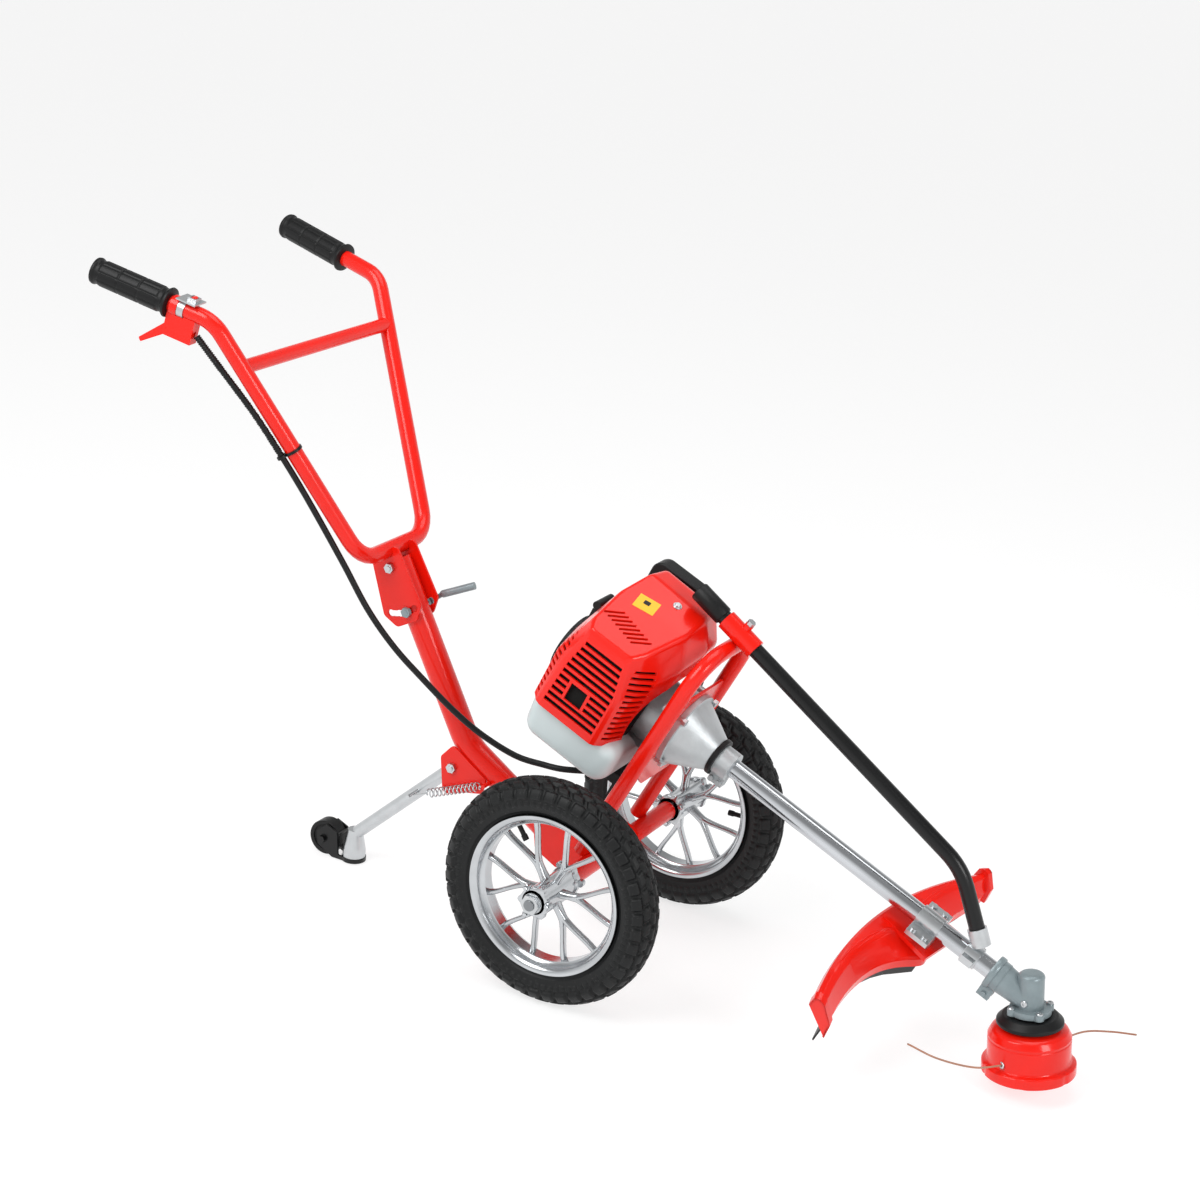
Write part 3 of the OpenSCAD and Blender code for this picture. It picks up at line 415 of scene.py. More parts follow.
# %% [markdown]
# Everything whose CAD form is right gets its eased copy here. The width of the rounding follows
# how the part is made: sheet metal is cut sharply, castings and mouldings are soft.

# %% Copies of the solids that keep their form
for node, width in {
        "post": 0.4, "axle_gussets": 0.8, "axle_tube": 0.3, "axle_rod": 0.6,
        "stand_bracket": 0.7, "engine_hoop": 0.0, "mount_plate": 0.8, "shield_sleeve": 0.6,
        "frame_bolts": 0.6, "lock_lever": 0.8, "stand_leg": 0.7, "caster_fork": 0.8,
        "caster_wheel": 1.6, "handle_tube": 0.0, "handle_crossbar": 0.0, "handle_plates": 0.7,
        "switch_mount": 0.5, "switch_rocker": 0.6, "throttle_bracket": 0.6, "throttle_lever": 1.2,
        "cable_tie": 0.5, "wheel_bearings_left": 0.5, "wheel_bearings_right": 0.5,
        "valve_left": 0.6, "valve_right": 0.6, "crankcase": 1.5, "cylinder": 0.4, "piston": 0.4,
        "spark_plug": 0.5, "crankshaft": 0.5, "muffler": 3.0, "fuel_cap": 1.0,
        "tank_stand": 1.2, "recoil_starter": 2.0, "starter_grip": 1.5, "carburettor": 2.0,
        "air_filter": 2.5, "clutch_housing": 1.0, "damper_ring": 1.2, "shaft_clamp": 1.2,
        "drive_tube": 0.3, "drive_shaft": 0.3, "gear_case": 1.2, "guard_flap": 0.3,
        "guard_clamp": 1.0, "strut_tube": 0.0, "strut_clamp": 1.2, "fuel_tank": 0.0,
        "bump_knob": 1.0}.items():
    eased(node, width, material="gear_grey" if node in ("gear_case", "lock_lever") else None)

# %% [markdown]
# Tyres. A real one is a carcass with blocks moulded on: two staggered rows in the middle, long
# lugs on the shoulders that reach down the side wall. Here the section is an oval, and the tread
# is a height field on it, a product of soft steps round the wheel and across the section.

# %% Tyres
LUGS = 42
TREAD = 4.4


def step(x, low, high):
    """0 below low, 1 above high, and a smooth S between."""
    k = np.clip((x - low) / (high - low), 0, 1)
    return k * k * (3 - 2 * k)


def blocks(place, gap):
    """1 on a block and 0 in the groove, for a place counted in blocks."""
    off = np.abs(place - np.floor(place) - 0.5)
    return 1 - step(off, 0.5 - gap, 0.5 - gap * 0.45)


def tyre(name, node, centre_y):
    """Oval of half height 28.5 and half width 29.5 at radius 130, cut back by the tread's grooves."""
    theta = np.linspace(0, 2 * pi, LUGS * 16, endpoint=False)[:, None]
    phi = np.radians(np.linspace(-156, 156, 105))[None, :]
    turn = theta / (2 * pi) * LUGS
    side = np.abs(np.degrees(phi))
    middle = (1 - step(side, 15, 17)) * step(side, 1.5, 3.5) * blocks(turn + 0.5 * (phi > 0), 0.17)
    second = step(side, 20, 22) * (1 - step(side, 39, 41)) * blocks(
        turn + 0.25 + 0.5 * (phi > 0) + 0.012 * side, 0.2)
    shoulder = step(side, 44, 46) * (1 - step(side, 72, 82)) * blocks(turn + 0.5 * (phi > 0), 0.2)
    ribs = 0.35 * step(side, 82, 86) * (1 - step(side, 96, 104)) * blocks(2 * turn, 0.2)
    ring = 0.25 * np.exp(-((side - 118) / 2.5) ** 2) + 0.3 * np.exp(-((side - 134) / 3.5) ** 2)
    lift = TREAD * (middle + second + shoulder + ribs + ring - 1)
    radius = 130 + (28.5 + lift) * np.cos(phi)
    across = (29.5 + lift) * np.sin(phi)
    grid = np.stack([radius * np.cos(theta), centre_y + across + 0 * theta,
                     radius * np.sin(theta) + AXLE_Z / MM], -1)
    return sheet(name, ground(grid), body_of[node], slot_of[node], round_v=True, round_u=True,
                 standing_for=[node])


HALF_TRACK = 188
for side, sign in (("left", 1), ("right", -1)):
    tyre(f"tyre_{side}_tread", f"tyre_{side}", sign * HALF_TRACK)

# %% [markdown]
# Rims. The rim is a turned profile with two polished flanges. Six cast spokes leave a ribbed hub
# and each splits into two blades. Every blade is a tube with an oval section whose width shrinks
# from the root and swells again where it runs into the rim.

# %% Rims, spokes and hubs
RIM_PROFILE = [(-23.3, 111.6), (-23.3, 108.2), (-20.5, 104.2), (-17, 102.4), (-10, 99.5), (-8.5, 96.6),
               (8.5, 96.6), (10, 99.5), (17, 102.4), (20.5, 104.2), (23.3, 108.2), (23.3, 111.6),
               (21.5, 112), (20.3, 111), (19.6, 107.5), (-19.6, 107.5), (-20.3, 111), (-21.5, 112)]
HUB_PROFILE = [(-45, 12), (-45, 18.5), (-43.5, 20.5), (-36, 20.5), (-34, 18), (34, 18), (36, 20.5),
               (43.5, 20.5), (45, 18.5), (45, 12)]


def joined(name, parts, body, slot, node=None, bevel=0.0, material=None, sharp=42):
    """Several meshes made one piece, with outward faces, riding on the body."""
    form = bmesh.new()
    for part in parts:
        form.from_mesh(part.data)
        bpy.data.objects.remove(part)
    bmesh.ops.recalc_face_normals(form, faces=form.faces)
    mesh = bpy.data.meshes.new(name)
    form.to_mesh(mesh)
    form.free()
    mesh.polygons.foreach_set("use_smooth", np.ones(len(mesh.polygons), bool))
    mesh.set_sharp_from_angle(angle=radians(sharp))
    made = bpy.data.objects.new(name, mesh)
    bpy.context.scene.collection.objects.link(made)
    if bevel:
        ease = made.modifiers.new("eased", "BEVEL")
        ease.width, ease.segments, ease.harden_normals = bevel * MM, 2, True
        ease.limit_method, ease.angle_limit = "ANGLE", radians(sharp)
    settle(made, body, slot, material)
    if node:
        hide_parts(node)
    return made


def bar(name, line, wide, deep, sides=16):
    """An oval bar along a line that lies in the wheel's plane: wide in the plane, deep along y."""
    ahead = unit(np.gradient(line, axis=0))
    flat = np.cross(ahead, [0, 1, 0])
    w = np.linspace(0, 2 * pi, sides, endpoint=False)[None, :, None]
    squared = lambda v: np.sign(v) * np.abs(v) ** 0.7
    wide, deep = (np.broadcast_to(v, len(line)).reshape(-1, 1, 1) for v in (wide, deep))
    grid = line[:, None] + wide * squared(np.cos(w)) * flat[:, None] \
        + deep * squared(np.sin(w)) * np.array([0, 1, 0])
    return sheet(name, ground(grid), None, None)


def wheel(side, sign, turn):
    """Rim, hub and forked spokes of one wheel, about its centre."""
    centre = np.array([0, sign * HALF_TRACK, AXLE_Z / MM])
    spot = lambda r, a, y=0: centre + np.array([r * np.cos(a), y, r * np.sin(a)]).T
    hub_ribs = lambda a, w: 1 + 0.22 * np.maximum(0, np.cos(3 * w)) ** 4
    parts = [sheet("rim_ring", ground(turned(RIM_PROFILE, centre, (0, 1, 0), 144)), None, None,
                   round_u=True),
             sheet("hub", ground(turned(HUB_PROFILE, centre, (0, 1, 0), 96, hub_ribs)), None, None,
                   round_u=True)]
    k = np.linspace(0, 1, 12)
    for spoke in np.radians(turn + 60 * np.arange(6)):
        stem = spot(14 + 28 * k, np.full(12, spoke), np.zeros(12))
        parts.append(bar("stem", stem, 6.2 - 1.2 * np.sin(pi * k), 8.0 - 2.4 * k))
        for way in (-1, 1):
            reach = 36 + 62.5 * k
            angle = spoke + way * np.radians(15.5) * np.sin(0.5 * pi * k) ** 0.9
            blade = spot(reach, angle, np.zeros(12))
            parts.append(bar("blade", blade, 3.9 - 0.7 * np.sin(pi * k), 5.6 - 0.6 * k))
    for lug in np.radians(turn + 120 * np.arange(3)):
        for end in (-1, 1):
            foot = spot(21.5, lug, end * 39.5)
            boss = turned([(0, 0.1), (0, 5), (6.4, 5), (7, 4.4), (7, 0.1)], foot, (0, end, 0), 20)
            head = turned([(7, 0.1), (7, 3.4), (9.6, 3.4), (10.2, 2.8), (10.2, 0.1)], foot,
                          (0, end, 0), 6)
            parts += [sheet("boss", ground(boss), None, None), sheet("head", ground(head), None, None)]
    node = f"wheel_rim_{side}"
    return joined(f"rim_{side}_spoked", parts, body_of[node], slot_of[node], node)


wheel("left", 1, 27)
wheel("right", -1, 3)

# %% [markdown]
# Grips. Soft rubber sleeves with a flange at the inner end and a bead at the outer one. Three
# rings of nine long pads run round each, set off by grooves: a lathe form with a height field.

# %% Grips
def grip(side, sign):
    """Lathe form of radius 17 along the handle's end, flange of 21, and pads raised 1.1 mm."""
    knee, end = np.array([-575, sign * 195, 818.0]), np.array([-753, sign * 218, 858.0])
    axis = unit(end - knee)
    reach = np.linalg.norm(end - knee) + 3
    a = np.concatenate([[66, 66.2, 67.5, 70, 71.5, 72.5, 74], np.linspace(75, reach - 6, 90),
                        [reach - 5, reach - 3.5, reach - 1, reach - 0.2, reach]])
    r = np.interp(a, [66, 66.3, 68, 70.5, 72, 74, 76, reach - 7, reach - 5.5, reach - 2, reach - 0.3,
                      reach], [11.6, 19, 21, 21, 19.5, 17.5, 17, 17, 18.6, 19, 17.5, 12])
    w = np.linspace(0, 2 * pi, 120, endpoint=False)[None, :]
    rows = blocks(w / (2 * pi) * 9, 0.12)
    along = (a[:, None] - 80) / (reach - 92) * 3
    pads = blocks(along, 0.05) * (along > 0) * (along < 3)
    lift = 1.1 * rows * pads
    n1 = unit(np.cross(axis, [0, 0, 1.0]))
    n2 = np.cross(axis, n1)
    radius = (r[:, None] + lift)[..., None]
    grid = knee + a[:, None, None] * axis + radius * (np.cos(w)[..., None] * n1
                                                       + np.sin(w)[..., None] * n2)
    return sheet(f"grip_{side}_padded", ground(grid), "handle", "rubber", standing_for=[f"grip_{side}"],
                 sharp=50)


for side, sign in (("left", 1), ("right", -1)):
    grip(side, sign)

# %% [markdown]
# The cable is one sleeve from the throttle to the carburettor: corrugated conduit down to the tie
# on the handle's arm, then smooth hose. Near the tilt pivot its path passes between the handle and
# the frame.

# %% Cable
CABLE = [(-599.8, -197.3, 793.4), (-570, -188, 758), (-524, -167, 697), (-489.6, -146.7, 639.6),
         (-459, -123, 578), (-414, -100, 495), (-378, -84, 429), (-339, -72, 380), (-295, -61, 340),
         (-252, -50, 304), (-211, -38, 275), (-164, -22, 251), (-126, -10, 244), (-89, 0, 243),
         (-40, 34, 245), (2, 64, 264), (29, 68, 307), (53, 68, 362), (67, 68, 404), (61, 68, 426),
         (46, 68, 432.5)]
STEPS, TIE_AT = 60, 3
SLEEVE_R, FLUTE, FLUTE_PITCH = 4.4, 0.45, 3.2
line = route(CABLE, STEPS)
length = np.concatenate([[0], np.cumsum(np.linalg.norm(np.diff(line, axis=0), axis=1))])
fluted = length < length[STEPS * TIE_AT]
flutes = np.sign(np.sin(length * 2 * pi / FLUTE_PITCH))
sleeve = SLEEVE_R + FLUTE * np.where(fluted, flutes, 0.0)
cable = sheet("cable_sleeve", ground(tube(line, sleeve, 14)), None, None)
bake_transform(cable)
cable.data.materials.append(paint["rubber"])
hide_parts("throttle_cable")
print("cable length", round(float(length[-1])), "mm")

# The tie is a thin band, so its copy is pressed together along the arm
TIE_KEPT = 0.4
tie = bpy.data.objects["cable_tie_piece"].data
spots = np.empty(len(tie.vertices) * 3)
tie.vertices.foreach_get("co", spots)
spots = spots.reshape(-1, 3)
along_arm = unit(np.subtract(CABLE[4], CABLE[2]))
reach = (spots - spots.mean(0)) @ along_arm
spots -= (1 - TIE_KEPT) * reach[:, None] * along_arm
tie.vertices.foreach_set("co", spots.ravel())
tie.update()

# %% [markdown]
# The stand's spring is a real coil: a helix of 2 mm wire whose ends run out straight to the lug
# on the leg and to the pin under the post. It is built in the standing pose.

# %% Spring
COIL_R, WIRE_R, TURNS = 6.0, 1.0, 19
lug, pin = np.array([-325, -30, 145.0]), np.array([-203, -30, 196.0])
k = np.linspace(0, 1, 900)
inside = step(k, 0.22, 0.27) * (1 - step(k, 0.90, 0.95))
spring_axis = unit(pin - lug)
n1 = np.cross(spring_axis, [0, 1, 0])
spin = 2 * pi * TURNS * k
coil = lug + k[:, None] * (pin - lug) + COIL_R * inside[:, None] * (
    np.cos(spin)[:, None] * n1 + np.sin(spin)[:, None] * np.array([0, 1.0, 0]))
spring = sheet("stand_spring_coil", ground(tube(coil, WIRE_R, 8, aside=(0.2, 1, 0.1))), None,
               None)
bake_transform(spring)
spring.data.materials.append(paint["zinc"])
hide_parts("stand_spring")

# %% [markdown]
# The line head: a turned body with six shallow grips round its skirt, a rubber dust disc above
# and two stiff nylon lines that leave through metal eyelets.

# %% Line head
LEAN, GEAR_S, LINE_R = radians(6.5), 662.6, 1.3
spindle = np.array([sin(LEAN), 0, -cos(LEAN)])
spindle_top = GEAR_S * DOWN_SHAFT + np.array([0, 0, CRANK_Z])
HEAD = [(32.2, 0.5), (32.2, 36), (33, 38), (36.5, 46.5), (38.5, 49.5), (44.5, 53), (46.5, 54),
        (49, 53.4), (50, 53.4), (51, 54), (79.5, 54), (81, 55), (83, 60.2), (84, 61), (96, 61),
        (97.2, 60), (99, 55), (103.5, 46), (106.5, 25), (107, 23), (107, 0.5)]
DISC = [(18.2, 6), (18.2, 35.5), (19, 36.5), (25.6, 43.2), (26.6, 43.5), (29.6, 43.5), (30.5, 42.6),
        (32, 38), (32.1, 6)]
notch = lambda a, w: 1 - 0.02 * np.maximum(0, np.cos(6 * w)) ** 16 * (a > 82) * (a < 98)
dense = lambda rows, n: np.column_stack([np.interp(
    np.linspace(0, len(rows) - 1, n), range(len(rows)), np.asarray(rows)[:, i]) for i in (0, 1)])
sheet("head", ground(turned(dense(HEAD, 120), spindle_top, spindle, 144, notch)), "cutter",
      "red_cover", standing_for=["line_head"], sharp=40)
sheet("dust_disc", ground(turned(dense(DISC, 60), spindle_top, spindle, 96)), "cutter", "rubber",
      sharp=40)
sheet("spindle", ground(turned([(-8, 0.2), (-8, 6), (18, 6), (18, 0.2)], spindle_top, spindle, 32)),
      "cutter", "steel")
for name, points in {
        "line_near": [(599, -50, 46), (571, -78, 46), (524, -86, 46), (478, -75, 46)],
        "line_far": [(635, 50, 48), (661, 78, 59), (694, 86, 67), (730, 75, 80)]}.items():
    sheet(name, ground(tube(route(points, 12), LINE_R, 10)), "cutter", "red_cover", material="line")
    out = unit(np.array(points[0]) - np.array(points[1]))
    eye = turned([(0, 1.4), (0, 4.6), (2.0, 5.6), (3.2, 5.2), (3.4, 3.4), (2.4, 1.4)],
                 np.array(points[0]) + 1.0 * out, -out, 28)
    sheet(name + "_eyelet", ground(eye), "cutter", "zinc", round_u=True)

# %% [markdown]
# The engine cover is a thin moulded shell, and its louvres let the cooling air out. It is lofted
# from eight sections, each a six-cornered outline; every corner and every change of section is cut
# off twice over, which leaves a soft radius. Solidify gives the wall, and then the openings are cut
# with Booleans: the open bottom, the holes at both ends of the crankshaft, and rows of slots.

# %% Cover sections
# One row a section: y, then s and t of the corners, from the bottom rear round by the front
COVER = np.array([
    [-119, -72, -52, 16, -52, 17, 40, 5, 98, -54, 98, -66, 40],
    [-115, -80, -52, 22, -52, 22, 42, 10, 106, -60, 106, -74, 40],
    [-100, -91, -52, 30, -52, 32, 48, 20, 114, -68, 113, -92, 40],
    [-45, -98, -52, 42, -52, 56, 98, 38, 142, -70, 139, -100, 50],
    [0, -99, -52, 46, -52, 60, 116, 38, 156, -60, 160, -98, 60],
    [40, -94, -52, 46, -52, 56, 114, 32, 154, -56, 157, -92, 60],
    [57, -88, -52, 42, -52, 48, 106, 26, 140, -52, 143, -82, 60],
    [62, -82, -52, 36, -52, 42, 96, 22, 128, -48, 130, -76, 60]], float)
COVER_WALL = 3.0


def guarded(points, reach, closed):
    """Each point with two more beside it, at most reach away or a third of the leg, on axis 1."""
    before, after = np.roll(points, 1, 1), np.roll(points, -1, 1)

    def beside(other):
        """The extra point on the way to the other one."""
        leg = other - points
        long = np.linalg.norm(leg, axis=-1, keepdims=True)
        return points + leg * np.minimum(reach / np.maximum(long, 1e-9), 0.33)

    rows = np.stack([beside(before), points, beside(after)], 2)
    rows = rows.reshape(len(points), -1, points.shape[-1])
    return rows if closed else rows[:, 1:-1]


def cut_corners(points, closed):
    """Every leg keeps its middle half: new points at a quarter and three quarters of it."""
    after = np.roll(points, -1, 1)
    cut = np.stack([0.75 * points + 0.25 * after, 0.25 * points + 0.75 * after], 2)
    cut = cut.reshape(len(points), -1, points.shape[-1])
    return cut if closed else np.concatenate([points[:, :1], cut[:, 1:-3], points[:, -1:]], 1)


corners = COVER[:, 1:].reshape(len(COVER), -1, 2)
corners = np.stack([corners[..., 0], np.broadcast_to(COVER[:, :1], corners.shape[:2]),
                    corners[..., 1]], -1)
for closed in (False, True):
    corners = corners.transpose(1, 0, 2)
    corners = guarded(corners, 12.0, closed)
    for _ in range(2):
        corners = cut_corners(corners, closed)
cover = sheet("engine_cover_shell", drive(corners), "frame", "red_cover",
              standing_for=["engine_cover"], sharp=50)
wall = cover.modifiers.new("wall", "SOLIDIFY")
wall.thickness, wall.offset = COVER_WALL * MM, -1


def brick(low, high, turn=0.0):
    """A box between two corners of the drive frame, turned about its middle in the s-y plane."""
    low, high = np.array(low, float), np.array(high, float)
    middle, half = (low + high) / 2, (high - low) / 2
    ring = np.array([[-1, -1], [1, -1], [1, 1], [-1, 1]]) * half[:2]
    ring = ring @ np.array([[cos(turn), sin(turn)], [-sin(turn), cos(turn)]])
    grid = np.stack([np.column_stack([ring, np.full(4, h)]) for h in (-half[2], half[2])]) + middle
    return sheet("brick", drive(grid), None, None)


def drum(start, end, radius):
    """A cylinder about the crank axis from s = start to s = end."""
    return sheet("drum", drive(turned([(0, radius), (end - start, radius)], (start, 0, 0), (1, 0, 0),
                                      72)), None, None)


def finished(made, sharp):
    """The modifiers worked into the mesh, with its sharp edges marked anew."""
    bpy.context.view_layer.update()
    mesh = bpy.data.meshes.new_from_object(made.evaluated_get(bpy.context.evaluated_depsgraph_get()))
    made.modifiers.clear()
    made.data = mesh
    mesh.polygons.foreach_set("use_smooth", np.ones(len(mesh.polygons), bool))
    mesh.set_sharp_from_angle(angle=radians(sharp))
    return made


def carve(made, cutters):
    """Cuts the joined cutters out of the piece."""
    form = bmesh.new()
    for cutter in cutters:
        form.from_mesh(cutter.data)
        bpy.data.objects.remove(cutter)
    bmesh.ops.recalc_face_normals(form, faces=form.faces)
    mesh = bpy.data.meshes.new("cutters")
    form.to_mesh(mesh)
    form.free()
    tool = bpy.data.objects.new("cutters", mesh)
    bpy.context.scene.collection.objects.link(tool)
    cut = made.modifiers.new("openings", "BOOLEAN")
    cut.operation, cut.solver, cut.object = "DIFFERENCE", "EXACT", tool
    finished(made, 32)
    bpy.data.objects.remove(tool)


# %% [markdown]
# The closed form is opened in three steps: its foot is cut away, then the round holes for the
# starter and the clutch and the bay of the carburettor, and last every louvre at once. The slots
# stop short of the window in front of the silencer's outlet.

# %% Openings of the cover
COVER_FOOT = -35
finished(cover, 32)
carve(cover, [brick((-150, -150, -90), (90, 100, COVER_FOOT))])
carve(cover, [drum(-130, -68, 58), drum(26, 90, 76), brick((-50, 44, 20), (20, 90, 104))])
WINDOW = (-45, -4, -18, 23)
cuts = [brick((WINDOW[0], -130, WINDOW[1]), (WINDOW[2], -108, WINDOW[3]))]
for t in -23 + 10.4 * np.arange(11):
    left = np.interp(t, [-30, 40, 95], [-70, -64, -52])
    right = np.interp(t, [-30, 40, 95], [13, 14, 3])
    beside_window = WINDOW[1] - 8 < t < WINDOW[3] + 4
    spans = [(left, WINDOW[0] - 4), (WINDOW[2] + 4, right)] if beside_window else [(left, right)]
    cuts += [brick((a, -130, t), (b, -108, t + 6.0)) for a, b in spans]
for t in -25 + 9.2 * np.arange(13):
    cuts.append(brick((19, -110, t), (70, -76, t + 4.4)))
    cuts.append(brick((-120, -110, t), (-76, -80, t + 4.4)))
for k in range(8):
    cuts.append(brick((-67.5 + 8 * k, -79.7 - 1.8 * k, 103), (-40.5 + 8 * k, -76.3 - 1.8 * k, 160),
                      radians(36)))
carve(cover, cuts)

# %% [markdown]
# Behind the louvres lies a thin near-black sheet that is painted shade: it stands in for the shade
# inside the cover and makes the slots look dark. It is the cover's own loft, drawn in and left open
# behind.

# %% Painted shade sheet behind the louvres
SHADE_SHEET_BACK, DRAWN_IN, SHADE_SHEET_MIDDLE = -55, 0.925, np.array([-27.0, 0, 38.0])
inner = corners[corners[..., 1].mean(1) < SHADE_SHEET_BACK]
inner[..., 1] = inner[..., 1] * 0.95
inner[..., [0, 2]] = (SHADE_SHEET_MIDDLE + DRAWN_IN * (inner - SHADE_SHEET_MIDDLE))[..., [0, 2]]
inner[..., 2] = np.maximum(inner[..., 2], -29)
hub_row = SHADE_SHEET_MIDDLE + 0.01 * (inner[:1] - SHADE_SHEET_MIDDLE)
hub_row[..., 1] = inner[0, 0, 1]
# The near-black sheet here is painted shade standing in for the shade inside the cover
shade_sheet = sheet("painted_shade_sheet", drive(np.concatenate([hub_row, inner])), "frame", "black_paint",
               caps=False, material="dark", sharp=40)
plate = shade_sheet.modifiers.new("wall", "SOLIDIFY")
plate.thickness, plate.offset = 0.8 * MM, -1

# %% [markdown]
# A plain label lies on the cover's shoulder with a dark mark on it. Both are flat patches that a
# Shrinkwrap pulls on to the shell, and one screw with a washer holds the cover beside them.

# %% Label and screw on the cover


def sticker(name, half_s, half_y, lift, material, at=(-31.5, -42)):
    """A patch over the cover's shoulder, pulled on to it and raised by lift millimetres."""
    u, v = np.meshgrid(np.linspace(-half_s, half_s, 15), np.linspace(-half_y, half_y, 11),
                       indexing="ij")
    turn = radians(8)
    s, y = at[0] + u * cos(turn) - v * sin(turn), at[1] + u * sin(turn) + v * cos(turn)
    made = sheet(name, drive(np.stack([s, y, 146 + 0.42 * (y + 32)], -1)), "frame", "red_cover",
                 round_v=False, caps=False, material=material)
    laid = made.modifiers.new("laid", "SHRINKWRAP")
    laid.target, laid.wrap_method = cover, "NEAREST_SURFACEPOINT"
    laid.wrap_mode, laid.offset = "OUTSIDE_SURFACE", lift * MM
    return finished(made, 60)


sticker("label", 15.5, 11, 0.35, "label")
sticker("label_mark", 4.5, 3.2, 0.6, "ink", (-32.5, -40))
WASHER_SCREW = [(0, 0.1), (0, 6.2), (1.5, 6.2), (2.2, 5.6), (2.2, 4.2), (4.0, 4.0), (4.6, 3.2),
                (4.6, 0.1)]
screw = turned(WASHER_SCREW, (-2, -14, 151.5), (0, -0.25, 1), 32)
sheet("cover_screw", drive(screw), "frame", "zinc", sharp=35)

# %% [markdown]
# The guard is one moulding: a roof that bends back along a crescent, a crease, a sloping skirt and
# an upright lip that carries the rubber flap. Its section is written once, as a function of the
# place b across the machine, and it swells into an end block at each tip.

# %% Guard
GUARD_ROLL, GUARD_SKEW, GUARD_S = radians(15), radians(10), 490
TIP_NEAR, TIP_FAR = -206, 165


def guard_place(points):
    """Points s, b, t of the guard's own frame: skewed about its clamp, then rolled on the tube."""
    p = np.asarray(points, float)
    s, b, t = p[..., 0] - GUARD_S, p[..., 1], p[..., 2]
    s, b = (s * cos(GUARD_SKEW) + b * sin(GUARD_SKEW) + GUARD_S,
            b * cos(GUARD_SKEW) - s * sin(GUARD_SKEW))
    return drive(np.stack([s, b * cos(GUARD_ROLL) - t * sin(GUARD_ROLL),
                           b * sin(GUARD_ROLL) + t * cos(GUARD_ROLL)], -1))


def guard_lines(b):
    """Rear edge, front edge, roof height, crease and lip's foot at the place b."""
    rear = 440 + 55 * (b / 210) ** 2
    front = (rear + 32 + 62 * np.exp(-np.hypot(b, 12) / 60)
             - 16 * (np.maximum(0, b - 100) / 65) ** 2)
    roof = -32 + 5 * (b / 200) ** 2
    swell = step(-b, -TIP_NEAR - 13, -TIP_NEAR - 12) + 1.7 * step(b, TIP_FAR - 9, TIP_FAR - 8)
    lip = roof - 34 - 6 * (b / 200) ** 2
    rear, front, roof = rear - 2.5 * swell, front + 2.5 * swell, roof + 4.5 * swell
    return rear, front, roof, rear + np.maximum(12.5, 0.52 * (front - rear)), lip


def guard_outside(b):
    """The outer line of the section, from the rear wall's foot over the roof to the lip's foot."""
    r, f, c, k, e = guard_lines(b)
    dome = 0.5 * (r + k)
    s = [r, r + 2, r + 6, dome, k - 4, k, f - 3, f, f + 1]
    t = [c - 20, c - 4, c, c + 1.5, c + 1.5, c, c - 16, c - 20, e]
    return np.stack([np.stack([x, b, z], -1) for x, z in zip(s, t)], 1)


b = np.concatenate([np.linspace(TIP_NEAR, -190, 18), np.linspace(-188, 150, 96),
                    np.linspace(151, TIP_FAR, 16)])
outside = guard_outside(b)
inward = np.array([[3, 0, 0], [3, 0, -2], [2, 0, -3], [0, 0, -3], [-1, 0, -3], [-2.2, 0, -3],
                   [-3, 0, -1.5], [-3, 0, -1], [-3, 0, 0]])
ring = np.concatenate([outside, (outside + inward)[:, ::-1]], 1)
guard_parts = [sheet("guard_shell", guard_place(ring), None, None)]
for tip, thick in ((TIP_NEAR, 3.0), (TIP_FAR, -3.0)):
    guard_parts.append(sheet("guard_end", guard_place(guard_outside(np.array([tip, tip + thick]))),
                             None, None))
for way, reach in ((-1, 1.0), (1, 0.85)):
    for back_line, far in ((0.25, 130), (0.75, 95)):
        along = np.linspace(20, far * reach, 24) * way
        r, _, c, k, _ = guard_lines(along)
        rib = np.stack([r + 6 + (k - r - 8) * np.linspace(0.8, back_line, 24), along, c + 0.2], -1)
        guard_parts.append(sheet("guard_rib", guard_place(tube(rib, 1.8, 8)), None, None))
plate = np.array([[450, -24], [530, -24], [530, 24], [450, 24]], float)
guard_parts.append(sheet("guard_seat", guard_place(np.stack(
    [np.column_stack([plate, np.full(4, h)]) for h in (-34.5, -27.0)])), None, None))
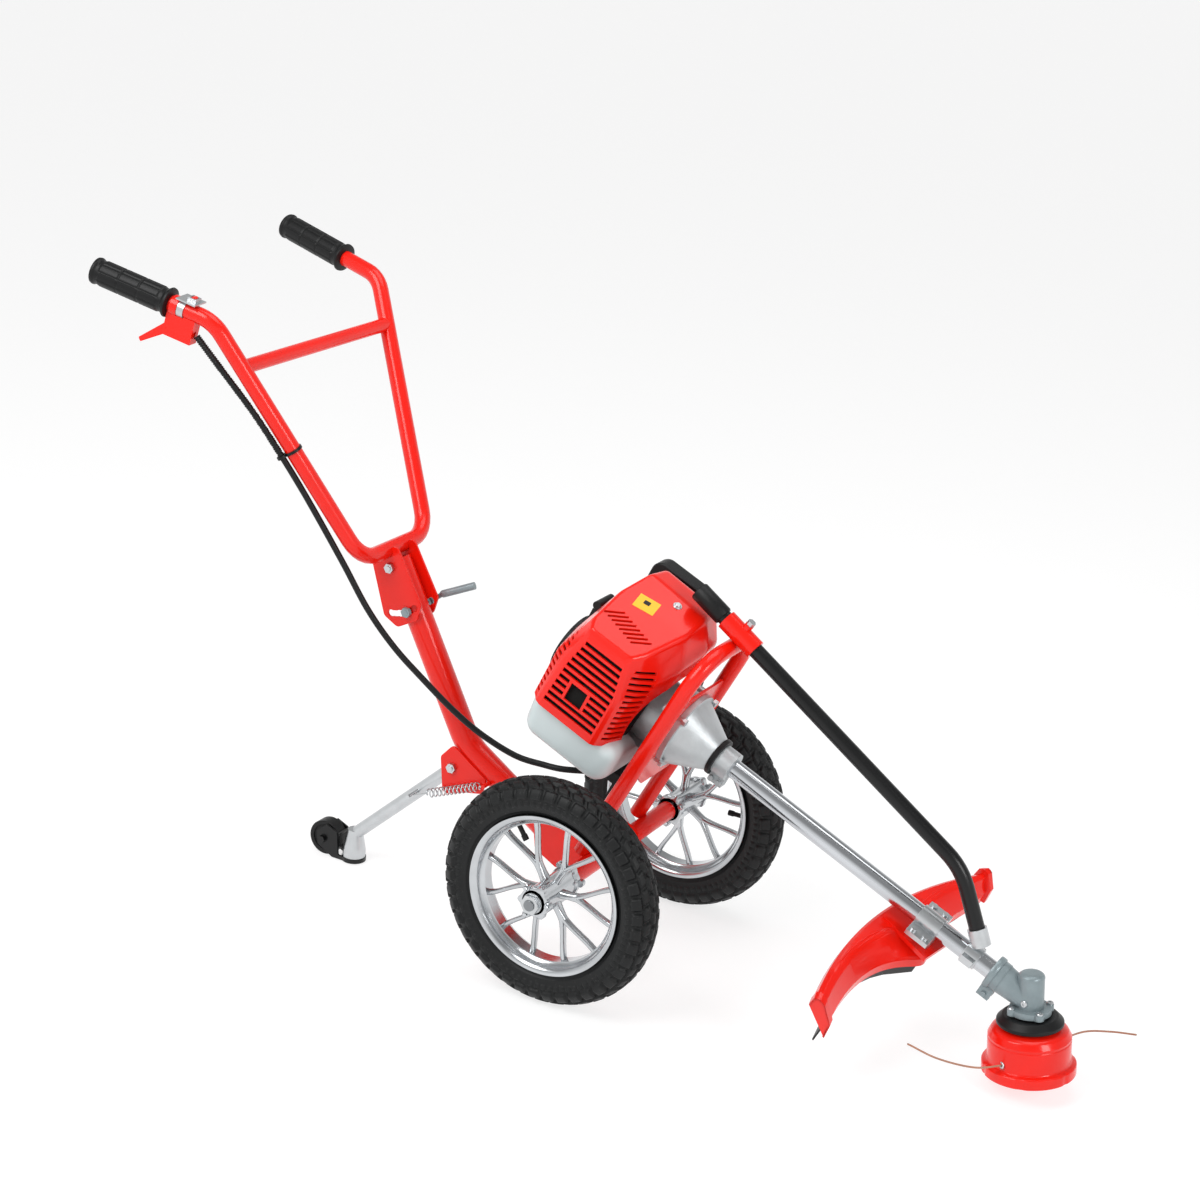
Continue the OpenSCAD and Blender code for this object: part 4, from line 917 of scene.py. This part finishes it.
joined("guard_moulding", guard_parts, "frame", "red_cover", "guard", bevel=0.7, sharp=24)

# %% [markdown]
# Small fittings of the gear case: a raised collar where the tube goes in, a domed cap on the
# upright bore, the plug of the grease hole and four screws through the flange.

# %% Gear case fittings
COLLAR = [(0, 20.5), (0, 22.4), (1.5, 23.2), (7, 23.2), (8.5, 22.2), (8.5, 20.5)]
neck = turned(COLLAR, (600.6, 0, 0), (1, 0, 0), 64)
sheet("gear_collar", drive(neck), "frame", "alu_cast", round_u=True, material="gear_grey", sharp=40)
CAP = [(-32, 0.2), (-32, 17.3), (-34, 17.3), (-36.5, 16.2), (-38.6, 13.4), (-39.2, 9), (-39.2, 0.2)]
sheet("gear_cap", ground(turned(dense(CAP, 40), spindle_top, spindle, 64)), "frame", "alu_cast",
      material="gear_grey", sharp=40, inside_out=True)
SCREW = [(0, 0.1), (0, 4.6), (1.8, 4.6), (2.6, 3.8), (2.6, 2.0), (1.4, 1.8), (1.4, 0.1)]
outward = unit(np.array([-0.16, -0.98, 0.0]))
sheet("grease_plug", ground(turned(SCREW, spindle_top - 1 * spindle + 16.4 * outward, outward, 28)),
      "frame", "zinc", sharp=35)
FLANGE_DEPTH, BOLT_CIRCLE = 8, 27
across = unit(np.cross(spindle, [0, 1.0, 0]))
for i, corner in enumerate(np.radians([45, 135, 225, 315])):
    aside = np.cos(corner) * across + np.sin(corner) * np.array([0, 1, 0])
    spot_on = spindle_top + FLANGE_DEPTH * spindle + BOLT_CIRCLE * aside
    sheet(f"flange_screw_{i}", ground(turned(SCREW, spot_on, -spindle, 24)), "frame", "zinc", sharp=35)

# %% [markdown]
# A thick rubber sleeve keeps the strut's upper end from chafing on the engine.

# %% Strut sleeve
strut_top, sleeve_start = np.array([84, 0, 547.0]), np.array([147.9, 0, 503.8])
strut_axis = unit(sleeve_start - strut_top)
collar = turned([(-4, 0.5), (-4, 12), (-2, 13.4), (42, 13.4), (44, 12.4), (44, 0.5)], strut_top,
                strut_axis, 48)
sheet("strut_sleeve", ground(collar), "frame", "rubber", sharp=40)
